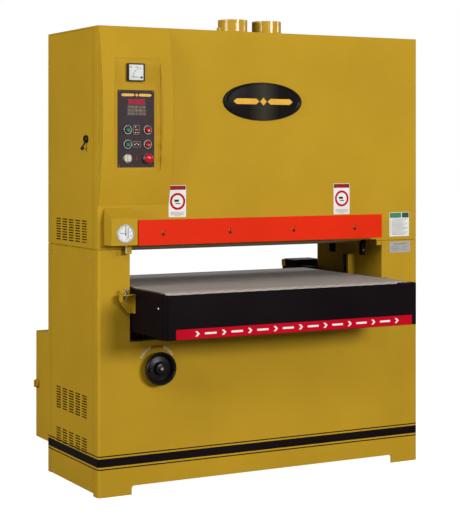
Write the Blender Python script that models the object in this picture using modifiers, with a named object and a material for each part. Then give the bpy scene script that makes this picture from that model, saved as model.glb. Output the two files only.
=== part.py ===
"""A floor-standing wide-belt sanding machine, modelled as separate pieces.

Lengths are in metres and +Z is up. The machine faces -Y. Everything hangs on an empty at the cabinet's
front left bottom corner, so a place in this file is (from the left wall, back from the front wall, up).
The scene's origin is the middle of the whole machine's footprint, on the floor.
"""

import math

import bmesh
import bpy
from mathutils import Matrix, Vector

# ---------------------------------------------------------------- driving dimensions

WIDTH, DEPTH, HEIGHT = 1.600, 0.550, 1.940  # the cabinet
SEAM = 1.017  # where the head stands on the columns
WALL = 0.006  # the housings' steel plate
SKIN = 0.003  # covers and doors
GAP = 0.0003  # left between pieces that touch
ROLL_GAP = 0.0008  # left between a wheel and the belt round it, whose flats cut inside its true circle
THROAT_LEFT, THROAT_RIGHT, THROAT_FLOOR = 0.143, 1.402, 0.632
SIDE_FRONT, SIDE_BACK = 0.050, 0.520  # the side panels' recess, back from the front wall
CORNER = 0.014  # radius of the folded front corners

FRONT_REACH = 0.360  # how far the table stands out in front of the cabinet
REAR_REACH = 0.210  # how far the electrical cabinet stands out behind it
LATCH_REACH = 0.028  # how far the door's latch stands out to the left

TABLE_TOP = 0.860  # the feed belt's top at the bottom of the table's travel
TABLE_TRAVEL = 0.145
TABLE_LEFT, TABLE_RIGHT = 0.150, 1.330
TABLE_REAR = 0.600
TABLE_FLOOR, BEAM_FLOOR = 0.675, 0.676
FEED_BELT, FEED_RADIUS = 0.004, 0.0492
FEED_IDLER_Y, FEED_DRIVE_Y = -0.284, 0.546
FEED_AXLE_Z = TABLE_TOP - FEED_BELT - ROLL_GAP - FEED_RADIUS
JACKS = [(x, y) for x in (0.240, 1.240) for y in (0.080, 0.470)]
JACK_RADIUS = 0.014

DRUM_Y, DRUM_Z, DRUM_RADIUS = 0.223, 1.090, 0.0780
DRUM_JOURNAL, ROD_RADIUS, BORE_GAP = 0.020, 0.0120, 0.0003
TENSION_Z, TENSION_RADIUS = 1.810, 0.0600
ROD_X, YOKE_Z = 0.761, 1.640
ROLL_LEFT, ROLL_RIGHT = 0.190, 1.330
SANDING_BELT = 0.0012
PULLEY_RADIUS, PULLEY_LEFT, PULLEY_RIGHT = 0.070, 1.460, 1.530
MOTOR_Y, MOTOR_Z, MOTOR_RADIUS = 0.275, 0.200, 0.120
PRESSURE_YS = {"front": 0.096, "rear": 0.350}
PRESSURE_Z, PRESSURE_RADIUS = 1.0315, 0.025

BULGE = 0.045  # how far the control fairing stands out at mid height
FAIRING_LEFT, FAIRING_RIGHT, FAIRING_FLOOR = 0.003, 0.322, 1.200
RECESS_LEFT, RECESS_RIGHT, RECESS_FLOOR, RECESS_TOP = 0.0646, 0.2672, 1.343, 1.807
PANEL_Y, RECESS_DRAFT = -0.025, 0.54  # where the recess's floor is, and how its sides lean outward
RECESS_WALL = 0.014  # beside the recess, for its leaning sides
PANEL_X, PANEL_WIDTH, PANEL_FLOOR, PANEL_TOP = 0.1589, 0.165, 1.357, 1.676
BUTTON_ROWS = {"drum": 1.512, "feed": 1.452, "switch": 1.394}
START_X, STOP_X = 0.1182, 0.2092
WINDOW_LOW, WINDOW_HIGH = (0.092, 1.372), (0.236, 1.662)  # the opening behind the control plate
BUTTON_RADIUS, BUTTON_HOLE = 0.0105, 0.0110
METER_X, METER_Z, METER_HALF_WIDTH, METER_HALF_HEIGHT = 0.1545, 1.749, 0.0380, 0.0370
METER_STAFF = (0.024, -0.021)  # where the needle turns, from the meter's centre

HOOD_FRONT = -0.075  # the front plane of the gauge box and the guard board
GAUGE_LEFT, GAUGE_RIGHT, GAUGE_FLOOR = 0.027, 0.144, 1.038
DIAL_X, DIAL_Z, DIAL_RADIUS = 0.0895, 1.086, 0.0370
GUARD_LEFT, GUARD_RIGHT, GUARD_FLOOR, GUARD_TOP = 0.1475, 1.352, 1.036, 1.141
GUARD_SCREW_XS = [0.261, 0.576, 0.891, 1.206]
GUARD_SCREW_Z, GUARD_TRAVEL = 1.0805, 0.0095

WHEEL_X, WHEEL_Z, WHEEL_RADIUS = 0.268, 0.518, 0.070
LATCH_Y, LATCH_Z = 0.116, 1.474
LIMIT_X, LIMIT_Y = 0.104, -0.047  # the upper limit's plunger and bolt
PORT_XS, PORT_Y, PORT_RADIUS, PORT_TOP = (0.760, 0.935), 0.240, 0.066, 2.010
BOX_LEFT, BOX_RIGHT, BOX_FLOOR, BOX_TOP = 0.020, 0.620, 0.128, 0.610

LOUVRE_COLUMNS, LOUVRE_ROWS, LOUVRE_FIRST_Y = 5, 9, 0.118
LOUVRE_COLUMN_PITCH, LOUVRE_ROW_PITCH = 0.0715, 0.0110

ROUND = 32  # sides of a large round piece
SMALL = 16  # sides of a small one

FLAT = (0.0, 0.0, 0.0)
FACING_FRONT = (math.pi / 2, 0.0, 0.0)  # an outline of (x, z), thick along Y
FACING_SIDE = (math.pi / 2, 0.0, math.pi / 2)  # an outline of (y, z), thick along X
AXIS_TURNS = {"right": (0.0, math.pi / 2, 0.0), "front": FACING_FRONT, "up": FLAT}

YELLOW, RED, BLACK = (0.50, 0.32, 0.035), (0.74, 0.03, 0.01), (0.012, 0.011, 0.012)
STEEL, CHROME, RUBBER = (0.45, 0.45, 0.46), (0.80, 0.80, 0.82), (0.16, 0.13, 0.12)
WHITE, GREEN, GREY = (0.80, 0.80, 0.79), (0.02, 0.25, 0.08), (0.22, 0.23, 0.25)


# ---------------------------------------------------------------- scene and materials


def clear_scene():
    for leftover in list(bpy.data.objects):
        bpy.data.objects.remove(leftover)


def new_collection(name):
    made = bpy.data.collections.new(name)
    bpy.context.scene.collection.children.link(made)
    return made


def paint(piece, name, colour, roughness=0.5, metallic=0.0):
    material = bpy.data.materials.get(name) or bpy.data.materials.new(name)
    material.use_nodes = True
    surface = material.node_tree.nodes["Principled BSDF"]
    surface.inputs["Base Color"].default_value = (*colour, 1.0)
    surface.inputs["Roughness"].default_value = roughness
    surface.inputs["Metallic"].default_value = metallic
    piece.data.materials.clear()
    piece.data.materials.append(material)
    return piece


def yellow(piece):
    return paint(piece, "yellow_paint", YELLOW, 0.38)


def black(piece):
    return paint(piece, "black_paint", BLACK, 0.35)


def steel(piece):
    return paint(piece, "bare_steel", STEEL, 0.35, 1.0)


def chrome(piece):
    return paint(piece, "chrome", CHROME, 0.12, 1.0)


# ---------------------------------------------------------------- shapes


def place(name, mesh, at):
    piece = bpy.data.objects.new(name, mesh)
    piece.location = at
    piece.parent = CABINET_CORNER
    PARTS.objects.link(piece)
    return piece


def smooth(piece, degrees=35):
    piece.data.shade_smooth()
    piece.data.set_sharp_from_angle(angle=math.radians(degrees))
    return piece


def mesh_of(name, builder):
    mesh = bpy.data.meshes.new(name)
    builder.to_mesh(mesh)
    builder.free()
    return mesh


def box(name, low, high, pivot=None):
    """A box between two corners. Its origin is the pivot, or its centre."""
    low, high = Vector(low), Vector(high)
    middle = (low + high) / 2
    pivot = middle if pivot is None else Vector(pivot)
    builder = bmesh.new()
    bmesh.ops.create_cube(builder, size=1.0)
    bmesh.ops.scale(builder, vec=high - low, verts=builder.verts)
    bmesh.ops.translate(builder, vec=middle - pivot, verts=builder.verts)
    return place(name, mesh_of(name, builder), pivot)


def rod(name, start, end, radius, sides=ROUND, pivot=None):
    """A cylinder between two points on one axis."""
    start, end = Vector(start), Vector(end)
    middle = (start + end) / 2
    pivot = middle if pivot is None else Vector(pivot)
    builder = bmesh.new()
    bmesh.ops.create_cone(
        builder, cap_ends=True, segments=sides, radius1=radius, radius2=radius, depth=(end - start).length
    )
    turn = (end - start).to_track_quat("Z", "Y").to_matrix().to_4x4()
    bmesh.ops.transform(builder, matrix=Matrix.Translation(middle - pivot) @ turn, verts=builder.verts)
    return smooth(place(name, mesh_of(name, builder), pivot))


def turned(name, profile, at, axis="up", sides=ROUND):
    """A profile of (radius, height), from top to bottom down its outer side, turned about its axis."""
    builder = bmesh.new()
    points = [builder.verts.new((radius, 0.0, height)) for radius, height in profile]
    for first, second in zip(points, points[1:]):
        builder.edges.new((first, second))
    if profile[0][0] > 0.0:
        builder.edges.new((points[-1], points[0]))
    piece = place(name, mesh_of(name, builder), at)
    piece.rotation_euler = AXIS_TURNS[axis]
    screw = piece.modifiers.new("turn", "SCREW")
    screw.steps = screw.render_steps = sides
    screw.use_merge_vertices = True
    screw.merge_threshold = 0.00005
    screw.use_smooth_shade = True
    return piece


def plate(name, outlines, thickness, at, plane=FLAT):
    """A flat outline with holes, thick to both sides of its plane. at is where the outline's (0, 0) lies."""
    curve = bpy.data.curves.new(name, "CURVE")
    curve.dimensions = "2D"
    curve.fill_mode = "BOTH"
    curve.extrude = thickness / 2
    for outline in outlines:
        spline = curve.splines.new("POLY")
        spline.points.add(len(outline) - 1)
        for point, (across, up) in zip(spline.points, outline):
            point.co = (across, up, 0.0, 1.0)
        spline.use_cyclic_u = True
    sketch = bpy.data.objects.new(name + "_sketch", curve)
    PARTS.objects.link(sketch)
    graph = bpy.context.evaluated_depsgraph_get()
    mesh = bpy.data.meshes.new_from_object(sketch.evaluated_get(graph))
    bpy.data.objects.remove(sketch)
    builder = bmesh.new()
    builder.from_mesh(mesh)
    bmesh.ops.remove_doubles(builder, verts=builder.verts, dist=0.00001)
    bmesh.ops.recalc_face_normals(builder, faces=builder.faces)
    builder.to_mesh(mesh)
    builder.free()
    mesh.name = name
    piece = place(name, mesh, at)
    piece.rotation_euler = plane
    return piece


def louvre_cutter(name, first_zs):
    """The slots of the louvre groups in the left side, downwards from each first_z."""
    width, height = 0.052, 0.0052
    size = Matrix.Diagonal((0.02, width, height, 1.0))
    builder = bmesh.new()
    for first_z in first_zs:
        for number in range(LOUVRE_COLUMNS * LOUVRE_ROWS):
            y = LOUVRE_FIRST_Y + (number // LOUVRE_ROWS) * LOUVRE_COLUMN_PITCH
            z = first_z - (number % LOUVRE_ROWS) * LOUVRE_ROW_PITCH
            middle = Matrix.Translation((0.0, y + width / 2, z))
            bmesh.ops.create_cube(builder, size=1.0, matrix=middle @ size)
    return place(name, mesh_of(name, builder), (0.0, 0.0, 0.0))


def combine(piece, other, operation):
    tool = piece.modifiers.new(other.name, "BOOLEAN")
    tool.object = other
    tool.operation = operation
    tool.solver = "EXACT"
    if other.name in PARTS.objects:
        PARTS.objects.unlink(other)
        CUTTERS.objects.link(other)
    other.hide_render = True
    other.display_type = "WIRE"


def cut(piece, *others):
    for other in others:
        combine(piece, other, "DIFFERENCE")
    return piece


def join(piece, *others):
    for other in others:
        combine(piece, other, "UNION")
    return piece


# ---------------------------------------------------------------- outlines


def rectangle(left, low, right, high):
    return [(left, low), (right, low), (right, high), (left, high)]


def arc(centre, radius, start, end, steps):
    angles = [math.radians(start + (end - start) * step / steps) for step in range(steps + 1)]
    return [(centre[0] + radius * math.cos(a), centre[1] + radius * math.sin(a)) for a in angles]


def circle(centre, radius, sides=SMALL):
    return arc(centre, radius, 0.0, 360.0 - 360.0 / sides, sides - 1)


def slot(centre_x, low, high, radius, steps=6):
    """An upright slot with round ends, whose end centres are at low and high."""
    top = arc((centre_x, high), radius, 0.0, 180.0, steps)
    return top + arc((centre_x, low), radius, 180.0, 360.0, steps)


def loop_round(first, first_radius, second, second_radius, steps=14):
    """A belt's outline round two wheels, each given as (y, z), the second above the first."""
    across, up = second[0] - first[0], second[1] - first[1]
    lean = math.degrees(math.atan2(across, up))
    spread = math.degrees(math.asin((first_radius - second_radius) / math.hypot(across, up)))
    top = arc(second, second_radius, spread - lean, 180.0 - spread - lean, steps)
    bottom = arc(first, first_radius, 180.0 - spread - lean, 360.0 + spread - lean, steps)
    return top + bottom


# ---------------------------------------------------------------- cabinet


def housing_outline():
    """The cabinet from above, with its two folded front corners."""
    left = arc((CORNER, CORNER), CORNER, 180.0, 270.0, 5)
    right = arc((WIDTH - CORNER, CORNER), CORNER, 270.0, 360.0, 5)
    return left + right + [(WIDTH, DEPTH), (0.0, DEPTH)]


def lower_housing():
    """Base and columns, one weldment: open below, above its columns, and behind the left side's cover."""
    shell = plate("lower_housing", [housing_outline()], SEAM, (0.0, 0.0, SEAM / 2))
    inner_front, inner_back = WALL, DEPTH - WALL
    foot_left, foot_right, foot_top, bend = 0.152, 1.4545, 0.037, 0.012
    cut(
        shell,
        box("throat_cut", (THROAT_LEFT, -0.1, THROAT_FLOOR), (THROAT_RIGHT, 0.7, 1.2)),
        box("base_cut", (WALL, inner_front, -0.1), (WIDTH - WALL, inner_back, THROAT_FLOOR - WALL)),
        box("deck_cut", (0.19, 0.056, 0.55), (1.35, 0.494, 0.70)),
        box("left_column_cut", (WALL, inner_front, 0.6), (THROAT_LEFT - WALL, inner_back, 1.2)),
        box("right_column_cut", (THROAT_RIGHT + WALL, inner_front, 0.6), (WIDTH - WALL, inner_back, 1.2)),
        box("cover_recess", (-0.1, SIDE_FRONT, -0.1), (SKIN + GAP, SIDE_BACK, 1.2)),
        box("cover_window", (-0.1, SIDE_FRONT + 0.03, 0.06), (0.03, SIDE_BACK - 0.03, SEAM - 0.05)),
        plate(
            "foot_cut",
            [
                [(foot_left, -0.01)]
                + arc((foot_left + bend, foot_top - bend), bend, 180.0, 90.0, 5)
                + arc((foot_right - bend, foot_top - bend), bend, 90.0, 0.0, 5)
                + [(foot_right, -0.01)]
            ],
            DEPTH + 0.2,
            (0.0, DEPTH / 2, 0.0),
            FACING_FRONT,
        ),
        rod("wheel_shaft_hole", (WHEEL_X, -0.02, WHEEL_Z), (WHEEL_X, 0.03, WHEEL_Z), 0.0130, SMALL),
    )
    join(shell, box("inner_rail", (1.376, 0.002, 0.997), (THROAT_RIGHT + 0.002, 0.548, SEAM)))
    return yellow(shell)


def lower_side_cover():
    screws = [circle((y, z), 0.004, 8) for y in (0.093, 0.492) for z in (0.025, 0.983)]
    border = rectangle(SIDE_FRONT + 0.0025, 0.006, SIDE_BACK - 0.0025, SEAM - 0.0035)
    cover = plate("lower_side_cover", [border] + screws, SKIN, (SKIN / 2, 0.0, 0.0), FACING_SIDE)
    return yellow(cut(cover, louvre_cutter("cover_louvres", (0.399, 0.221))))


def upper_housing():
    """The head's shell, open below and behind the left side's door."""
    low = SEAM + GAP
    shell = plate("upper_housing", [housing_outline()], HEIGHT - low, (0.0, 0.0, (HEIGHT + low) / 2))
    window_low = (-0.1, SIDE_FRONT + 0.010, SEAM + 0.012)
    window_high = (0.03, SIDE_BACK - 0.010, HEIGHT - 0.020)
    cut(
        shell,
        box("head_cut", (WALL, WALL, 0.9), (WIDTH - WALL, DEPTH - WALL, HEIGHT - WALL)),
        box("door_recess", (-0.1, SIDE_FRONT, 0.9), (SKIN + GAP, SIDE_BACK, HEIGHT - 0.006)),
        box("door_window", window_low, window_high),
        panel_window(0.03),
    )
    for side, x in zip(("left", "right"), PORT_XS):
        cut(shell, rod("port_hole_" + side, (x, PORT_Y, 1.90), (x, PORT_Y, 1.98), 0.062))
    return yellow(shell)


def belt_door():
    """The side door for changing the sanding belt: a louvred pan, hinged on its back edge."""
    low, high = SEAM + 0.0045, HEIGHT - 0.0085
    hinge = (0.0, SIDE_BACK - 0.0025, 0.0)
    border = rectangle(SIDE_FRONT + 0.0025 - hinge[1], low, 0.0, high)
    latch_hole = circle((LATCH_Y - hinge[1], LATCH_Z), 0.0065, 12)
    panel = plate("belt_door", [border, latch_hole], SKIN, (0.0, hinge[1], 0.0), FACING_SIDE)
    panel.data.transform(Matrix.Translation((0.0, 0.0, SKIN / 2)))
    rim_front, rim_back = SIDE_FRONT + 0.016, SIDE_BACK - 0.016
    rim_low, rim_high = low + 0.013, high - 0.018
    outer = rectangle(rim_front, rim_low, rim_back, rim_high)
    inner = rectangle(rim_front + SKIN, rim_low + SKIN, rim_back - SKIN, rim_high - SKIN)
    rim = plate("door_rim", [outer, inner], 0.016, (0.010, 0.0, 0.0), FACING_SIDE)
    join(panel, rim)
    return yellow(cut(panel, louvre_cutter("door_louvres", (1.131,))))


def door_latch():
    """A turning latch: a disc with a bent arm and a ball outside, and a cam bar behind the door."""
    pivot = (0.0, LATCH_Y, LATCH_Z)
    boss = rod("door_latch", (-0.012, LATCH_Y, LATCH_Z), (-GAP, LATCH_Y, LATCH_Z), 0.017, 24, pivot)
    ball_y, ball_z = LATCH_Y + 0.004, LATCH_Z - 0.038
    cam_reach, cam_half = 0.0685, 0.009
    join(
        boss,
        rod("latch_spindle", (-0.008, LATCH_Y, LATCH_Z), (0.026, LATCH_Y, LATCH_Z), 0.0060, 12),
        rod("latch_arm", (-0.006, LATCH_Y, LATCH_Z), (-0.020, ball_y, ball_z), 0.0045, 12),
        box(
            "latch_cam",
            (0.0225, LATCH_Y - cam_reach, LATCH_Z - cam_half),
            (0.0260, LATCH_Y + 0.012, LATCH_Z + cam_half),
        ),
    )
    ball = bmesh.new()
    bmesh.ops.create_uvsphere(ball, u_segments=14, v_segments=8, radius=0.0085)
    join(boss, place("latch_ball", mesh_of("latch_ball", ball), (-LATCH_REACH + 0.0085, ball_y, ball_z)))
    return black(boss)


def dust_port(side, x):
    """A flanged outlet that stands over a hole in the head's roof."""
    flange, low = PORT_RADIUS + 0.008, HEIGHT + GAP
    profile = [
        (PORT_RADIUS - 0.002, PORT_TOP),
        (PORT_RADIUS, PORT_TOP),
        (PORT_RADIUS, low + 0.004),
        (flange, low + 0.004),
        (flange, low),
        (PORT_RADIUS - 0.002, low),
    ]
    return yellow(turned("dust_port_" + side, profile, (x, PORT_Y, 0.0)))


def oval_badge():
    """A plain oval plate with a domed rim."""
    builder = bmesh.new()
    bmesh.ops.create_cone(builder, cap_ends=True, segments=44, radius1=0.5, radius2=0.5, depth=1.0)
    bmesh.ops.scale(builder, vec=(0.393, 0.166, 0.009), verts=builder.verts)
    bmesh.ops.rotate(builder, matrix=Matrix.Rotation(math.pi / 2, 3, "X"), verts=builder.verts)
    badge = smooth(place("oval_badge", mesh_of("oval_badge", builder), (0.7765, -GAP - 0.0045, 1.639)))
    rim = badge.modifiers.new("rim", "BEVEL")
    rim.width, rim.segments, rim.limit_method = 0.004, 1, "ANGLE"
    return black(badge)


# ---------------------------------------------------------------- controls


def bulge_outline(low, high, depth, back):
    """The fairing from the side, as (y, z): an arc that is flush with the wall at low and high."""
    half = (high - low) / 2
    radius = (half * half + depth * depth) / (2 * depth)
    swing = math.degrees(math.asin(half / radius))
    front = arc((radius - depth, (high + low) / 2), radius, 180.0 - swing, 180.0 + swing, 20)
    return front + [(back, low), (back, high)]


def lens(name, left, right, inset, back):
    outline = bulge_outline(FAIRING_FLOOR + inset, HEIGHT - inset, BULGE - 0.0005 - inset, back)
    return plate(name, [outline], right - left, ((left + right) / 2, -0.0005, 0.0), FACING_SIDE)


def panel_window(back):
    """The opening behind the control plate, for the switches' bodies and their cables."""
    return box("panel_window", (WINDOW_LOW[0], -0.1, WINDOW_LOW[1]), (WINDOW_HIGH[0], back, WINDOW_HIGH[1]))


def recess_space():
    """What the recess takes out of the fairing: upright sides that lean outward toward the front."""
    front, height = -0.1, RECESS_TOP - RECESS_FLOOR
    lean = (PANEL_Y - front) * RECESS_DRAFT
    outline = [(RECESS_LEFT - lean, front), (RECESS_RIGHT + lean, front)]
    outline += [(RECESS_RIGHT, PANEL_Y), (RECESS_LEFT, PANEL_Y)]
    return plate("recess_cut", [outline], height, (0.0, 0.0, RECESS_FLOOR + height / 2))


def control_fairing():
    """A bulged cover with a recess for the controls, hollow behind."""
    cover = lens("control_fairing", FAIRING_LEFT, FAIRING_RIGHT, 0.0, 0.0)
    cut(cover, lens("fairing_hollow", FAIRING_LEFT + SKIN, FAIRING_RIGHT - SKIN, SKIN, 0.01))
    frame = lens("recess_frame", RECESS_LEFT - RECESS_WALL, RECESS_RIGHT + RECESS_WALL, 0.0, 0.0)
    trim = box(
        "recess_trim",
        (RECESS_LEFT - 0.1, -0.1, RECESS_FLOOR - SKIN),
        (RECESS_RIGHT + 0.1, 0.1, RECESS_TOP + SKIN),
    )
    combine(frame, trim, "INTERSECT")
    join(cover, frame)
    cut(cover, recess_space())
    behind = box("recess_back", (RECESS_LEFT, PANEL_Y + SKIN, RECESS_FLOOR), (RECESS_RIGHT, 0.1, RECESS_TOP))
    cut(cover, behind)
    cut(cover, panel_window(0.1))
    return yellow(cover)


def control_plate():
    left, right = PANEL_X - PANEL_WIDTH / 2, PANEL_X + PANEL_WIDTH / 2
    holes = [circle((x, z), BUTTON_HOLE) for x in (START_X, STOP_X) for z in BUTTON_ROWS.values()]
    face = plate(
        "control_plate",
        [rectangle(left, PANEL_FLOOR, right, PANEL_TOP)] + holes,
        SKIN,
        (0.0, PANEL_Y - GAP - SKIN / 2, 0.0),
        FACING_FRONT,
    )
    return paint(face, "dark_plate", (0.045, 0.035, 0.038), 0.45)


def push_button(name, x, z, colour):
    """A cap on a stem that runs through the control plate."""
    face, guard = -0.018, -0.0045
    profile = [
        (0.0, -face), (BUTTON_RADIUS - 0.0015, -face), (BUTTON_RADIUS, -face - 0.0015),
        (BUTTON_RADIUS, -guard), (0.0075, -guard), (0.0075, -0.040), (0.0, -0.040),
    ]
    button = turned(name, profile, (x, PANEL_Y, z), "front", SMALL)
    return paint(button, name + "_plastic", colour, 0.3)


def emergency_stop_button():
    z = BUTTON_ROWS["switch"]
    profile = [
        (0.0, 0.034), (0.010, 0.033), (0.0175, 0.029), (0.0195, 0.025), (0.0185, 0.022),
        (0.0085, 0.020), (0.0085, -0.040), (0.0, -0.040),
    ]
    button = turned("emergency_stop_button", profile, (STOP_X, PANEL_Y, z), "front", 24)
    return paint(button, "stop_red", (0.60, 0.01, 0.02), 0.3)


def selector_switch():
    """A round knob with a grip bar across its face."""
    z = BUTTON_ROWS["switch"]
    profile = [
        (0.0, 0.014), (0.0150, 0.014), (0.0160, 0.012), (0.0160, 0.0045),
        (0.0075, 0.0045), (0.0075, -0.040), (0.0, -0.040),
    ]
    knob = turned("selector_switch", profile, (START_X, PANEL_Y, z), "front", SMALL)
    half_wide, half_high = 0.0025, 0.0095
    low = (START_X - half_wide, PANEL_Y - 0.022, z - half_high)
    grip = box("selector_grip", low, (START_X + half_wide, PANEL_Y - 0.012, z + half_high))
    return paint(join(knob, grip), "cream_plastic", (0.62, 0.56, 0.42), 0.4)


def load_meter():
    """A panel meter: a square case with a sunk face, and a hole for the needle's staff."""
    x, y, z, wide, high = METER_X, PANEL_Y, METER_Z, METER_HALF_WIDTH, METER_HALF_HEIGHT
    case = box("load_meter", (x - wide, y - 0.018, z - high), (x + wide, y - GAP, z + high))
    wide, high = wide - 0.0045, high - 0.0045
    cut(case, box("meter_face_cut", (x - wide, -0.1, z - high), (x + wide, y - 0.013, z + high)))
    x, z = x + METER_STAFF[0], z + METER_STAFF[1]
    cut(case, rod("meter_staff_hole", (x, y - 0.02, z), (x, y - 0.006, z), 0.0022, 12))
    return paint(case, "meter_case", (0.02, 0.02, 0.02), 0.3)


def meter_needle():
    x, y, z = METER_X + METER_STAFF[0], PANEL_Y, METER_Z + METER_STAFF[1]
    staff = rod("meter_needle", (x, y - 0.0150, z), (x, y - 0.0070, z), 0.0018, 12, (x, 0.0, z))
    join(staff, box("needle_arm", (x - 0.038, y - 0.0150, z - 0.0006), (x + 0.004, y - 0.0142, z + 0.0006)))
    return paint(staff, "needle_black", BLACK, 0.4)


def gauge_box():
    """The height gauge's box, with a sloped top, open behind, and a lug below it for the limit switch."""
    back = -GAP
    side = [(back, 1.190), (back, GAUGE_FLOOR), (HOOD_FRONT, GAUGE_FLOOR), (HOOD_FRONT, 1.148)]
    side.append((-0.002, 1.190))
    inner_front, inner_low = HOOD_FRONT + SKIN, GAUGE_FLOOR + SKIN
    inner_top = 1.1865
    inner = [(0.01, inner_top), (0.01, inner_low), (inner_front, inner_low)]
    inner += [(inner_front, 1.1460), (-0.003, inner_top)]
    middle, width = (GAUGE_LEFT + GAUGE_RIGHT) / 2, GAUGE_RIGHT - GAUGE_LEFT
    case = plate("gauge_box", [side], width, (middle, 0.0, 0.0), FACING_SIDE)
    cut(
        case,
        plate("gauge_hollow", [inner], width - 2 * SKIN, (middle, 0.0, 0.0), FACING_SIDE),
        rod("dial_hole", (DIAL_X, -0.1, DIAL_Z), (DIAL_X, -0.06, DIAL_Z), DIAL_RADIUS + GAP),
        rod("plunger_hole", (LIMIT_X, LIMIT_Y, 1.02), (LIMIT_X, LIMIT_Y, 1.05), 0.0050, SMALL),
    )
    join(case, box("limit_lug", (0.112, -0.033, 1.000), (0.137, -0.029, 1.040)))
    return yellow(case)


def gauge_dial():
    face = plate(
        "gauge_dial",
        [circle((0.0, 0.0), DIAL_RADIUS, ROUND), circle((0.0, 0.0), 0.0030, 12)],
        0.0060,
        (DIAL_X, HOOD_FRONT + 0.0040, DIAL_Z),
        FACING_FRONT,
    )
    return paint(face, "dial_white", WHITE, 0.35)


def gauge_pointer():
    """A pointer on a staff that runs through the dial."""
    pivot = (DIAL_X, 0.0, DIAL_Z)
    face = HOOD_FRONT + 0.0005
    staff = rod("gauge_pointer", (DIAL_X, face, DIAL_Z), (DIAL_X, face + 0.014, DIAL_Z), 0.0026, 12, pivot)
    hand = [(-0.0016, -0.008), (0.0016, -0.008), (0.0003, 0.030), (-0.0003, 0.030)]
    join(staff, plate("pointer_hand", [hand], 0.0004, (DIAL_X, face + 0.0002, DIAL_Z), FACING_FRONT))
    return paint(staff, "needle_black", BLACK, 0.4)


def limit_plunger():
    """The switch's plunger, which the table's limit bolt presses at the top of its travel."""
    profile = [(0.0, 1.066), (0.0075, 1.066), (0.0075, 1.063), (0.0045, 1.063)]
    profile += [(0.0045, 1.0045), (0.0, 1.0045)]
    return chrome(turned("limit_plunger", profile, (LIMIT_X, LIMIT_Y, 0.0), "up", SMALL))


# ---------------------------------------------------------------- guard


def guard_carrier():
    """A channel across the throat that holds the guard board on four round-headed screws."""
    front, back, low, high = HOOD_FRONT + 0.0055, -GAP, 1.043, 1.134
    channel = [
        (back, high), (back, high - SKIN), (front + SKIN, high - SKIN), (front + SKIN, low + SKIN),
        (-0.035, low + SKIN), (-0.035, low), (front, low), (front, high),
    ]
    left, right = GUARD_LEFT + 0.001, GUARD_RIGHT - 0.001
    piece = plate("guard_carrier", [channel], right - left, ((left + right) / 2, 0.0, 0.0), FACING_SIDE)
    for number, x in enumerate(GUARD_SCREW_XS, 1):
        behind, neck = (x, front + 0.001, GUARD_SCREW_Z), (x, HOOD_FRONT - GAP, GUARD_SCREW_Z)
        tip = (x, HOOD_FRONT - 0.0035, GUARD_SCREW_Z)
        shank = rod("screw_shank_%d" % number, behind, tip, 0.0030, 12)
        join(piece, shank, rod("screw_head_%d" % number, neck, tip, 0.0062, SMALL))
    return yellow(piece)


def guard_board():
    """The red board in front of the throat. Its slots reach above the screws, so that it can be lowered."""
    slots = [slot(x, GUARD_SCREW_Z - GAP, GUARD_SCREW_Z + GUARD_TRAVEL + GAP, 0.0034) for x in GUARD_SCREW_XS]
    border = rectangle(GUARD_LEFT, GUARD_FLOOR, GUARD_RIGHT, GUARD_TOP)
    board = plate("guard_board", [border] + slots, 0.0050, (0.0, HOOD_FRONT + 0.0025, 0.0), FACING_FRONT)
    return paint(board, "guard_red", RED, 0.4)


# ---------------------------------------------------------------- sanding head


def shaft_profile(left, right, journal_left, journal_right, radius, journal):
    """A roller with a journal at each end, as a turned profile whose heights run along X."""
    return [
        (0.0, journal_right), (journal, journal_right), (journal, right), (radius, right),
        (radius, left), (journal, left), (journal, journal_left), (0.0, journal_left),
    ]


def roller(name, y, z, ends, journals, radius, journal, sides=ROUND):
    profile = shaft_profile(ends[0], ends[1], journals[0], journals[1], radius, journal)
    return steel(turned(name, profile, (0.0, y, z), "right", sides))


def hollow_out(piece, y, z, ends, radius, wall, vent):
    """Makes a roller a tube with closed ends, and drills a vent through its right one."""
    left, right = ends[0] + 2 * wall, ends[1] - 2 * wall
    cut(
        piece,
        rod(piece.name + "_hollow", (left, y, z), (right, y, z), radius - wall, 16),
        rod(piece.name + "_vent", (right - wall, y + vent, z), (ends[1] + wall, y + vent, z), 0.004, 8),
    )


def contact_drum():
    """The drum that the sanding belt runs under, with its shaft and its grooved pulley."""
    ends, journals = (ROLL_LEFT, ROLL_RIGHT), (0.100, PULLEY_RIGHT + 0.010)
    drum = roller("contact_drum", DRUM_Y, DRUM_Z, ends, journals, DRUM_RADIUS, DRUM_JOURNAL)
    rim = PULLEY_RADIUS
    pulley = turned(
        "drum_pulley",
        [(0.0, PULLEY_RIGHT), (rim, PULLEY_RIGHT), (rim, PULLEY_LEFT), (0.0, PULLEY_LEFT)],
        (0.0, DRUM_Y, DRUM_Z),
        "right",
    )
    join(drum, pulley)
    hollow_out(drum, DRUM_Y, DRUM_Z, ends, DRUM_RADIUS, 0.018, 0.040)
    return paint(drum, "drum_rubber", (0.05, 0.05, 0.05), 0.6)


def motor_pulley():
    profile = [
        (0.0, PULLEY_RIGHT), (PULLEY_RADIUS, PULLEY_RIGHT),
        (PULLEY_RADIUS, PULLEY_LEFT), (0.019, PULLEY_LEFT),
        (0.019, 1.3503), (0.0, 1.3503),
    ]
    return steel(turned("motor_pulley", profile, (0.0, MOTOR_Y, MOTOR_Z), "right"))


def main_motor():
    frame = rod("main_motor", (0.990, MOTOR_Y, MOTOR_Z), (1.350, MOTOR_Y, MOTOR_Z), MOTOR_RADIUS)
    feet = box("motor_feet", (1.060, MOTOR_Y - 0.110, 0.0603), (1.280, MOTOR_Y + 0.110, 0.110))
    return paint(join(frame, feet), "motor_grey", GREY, 0.5)


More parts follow.
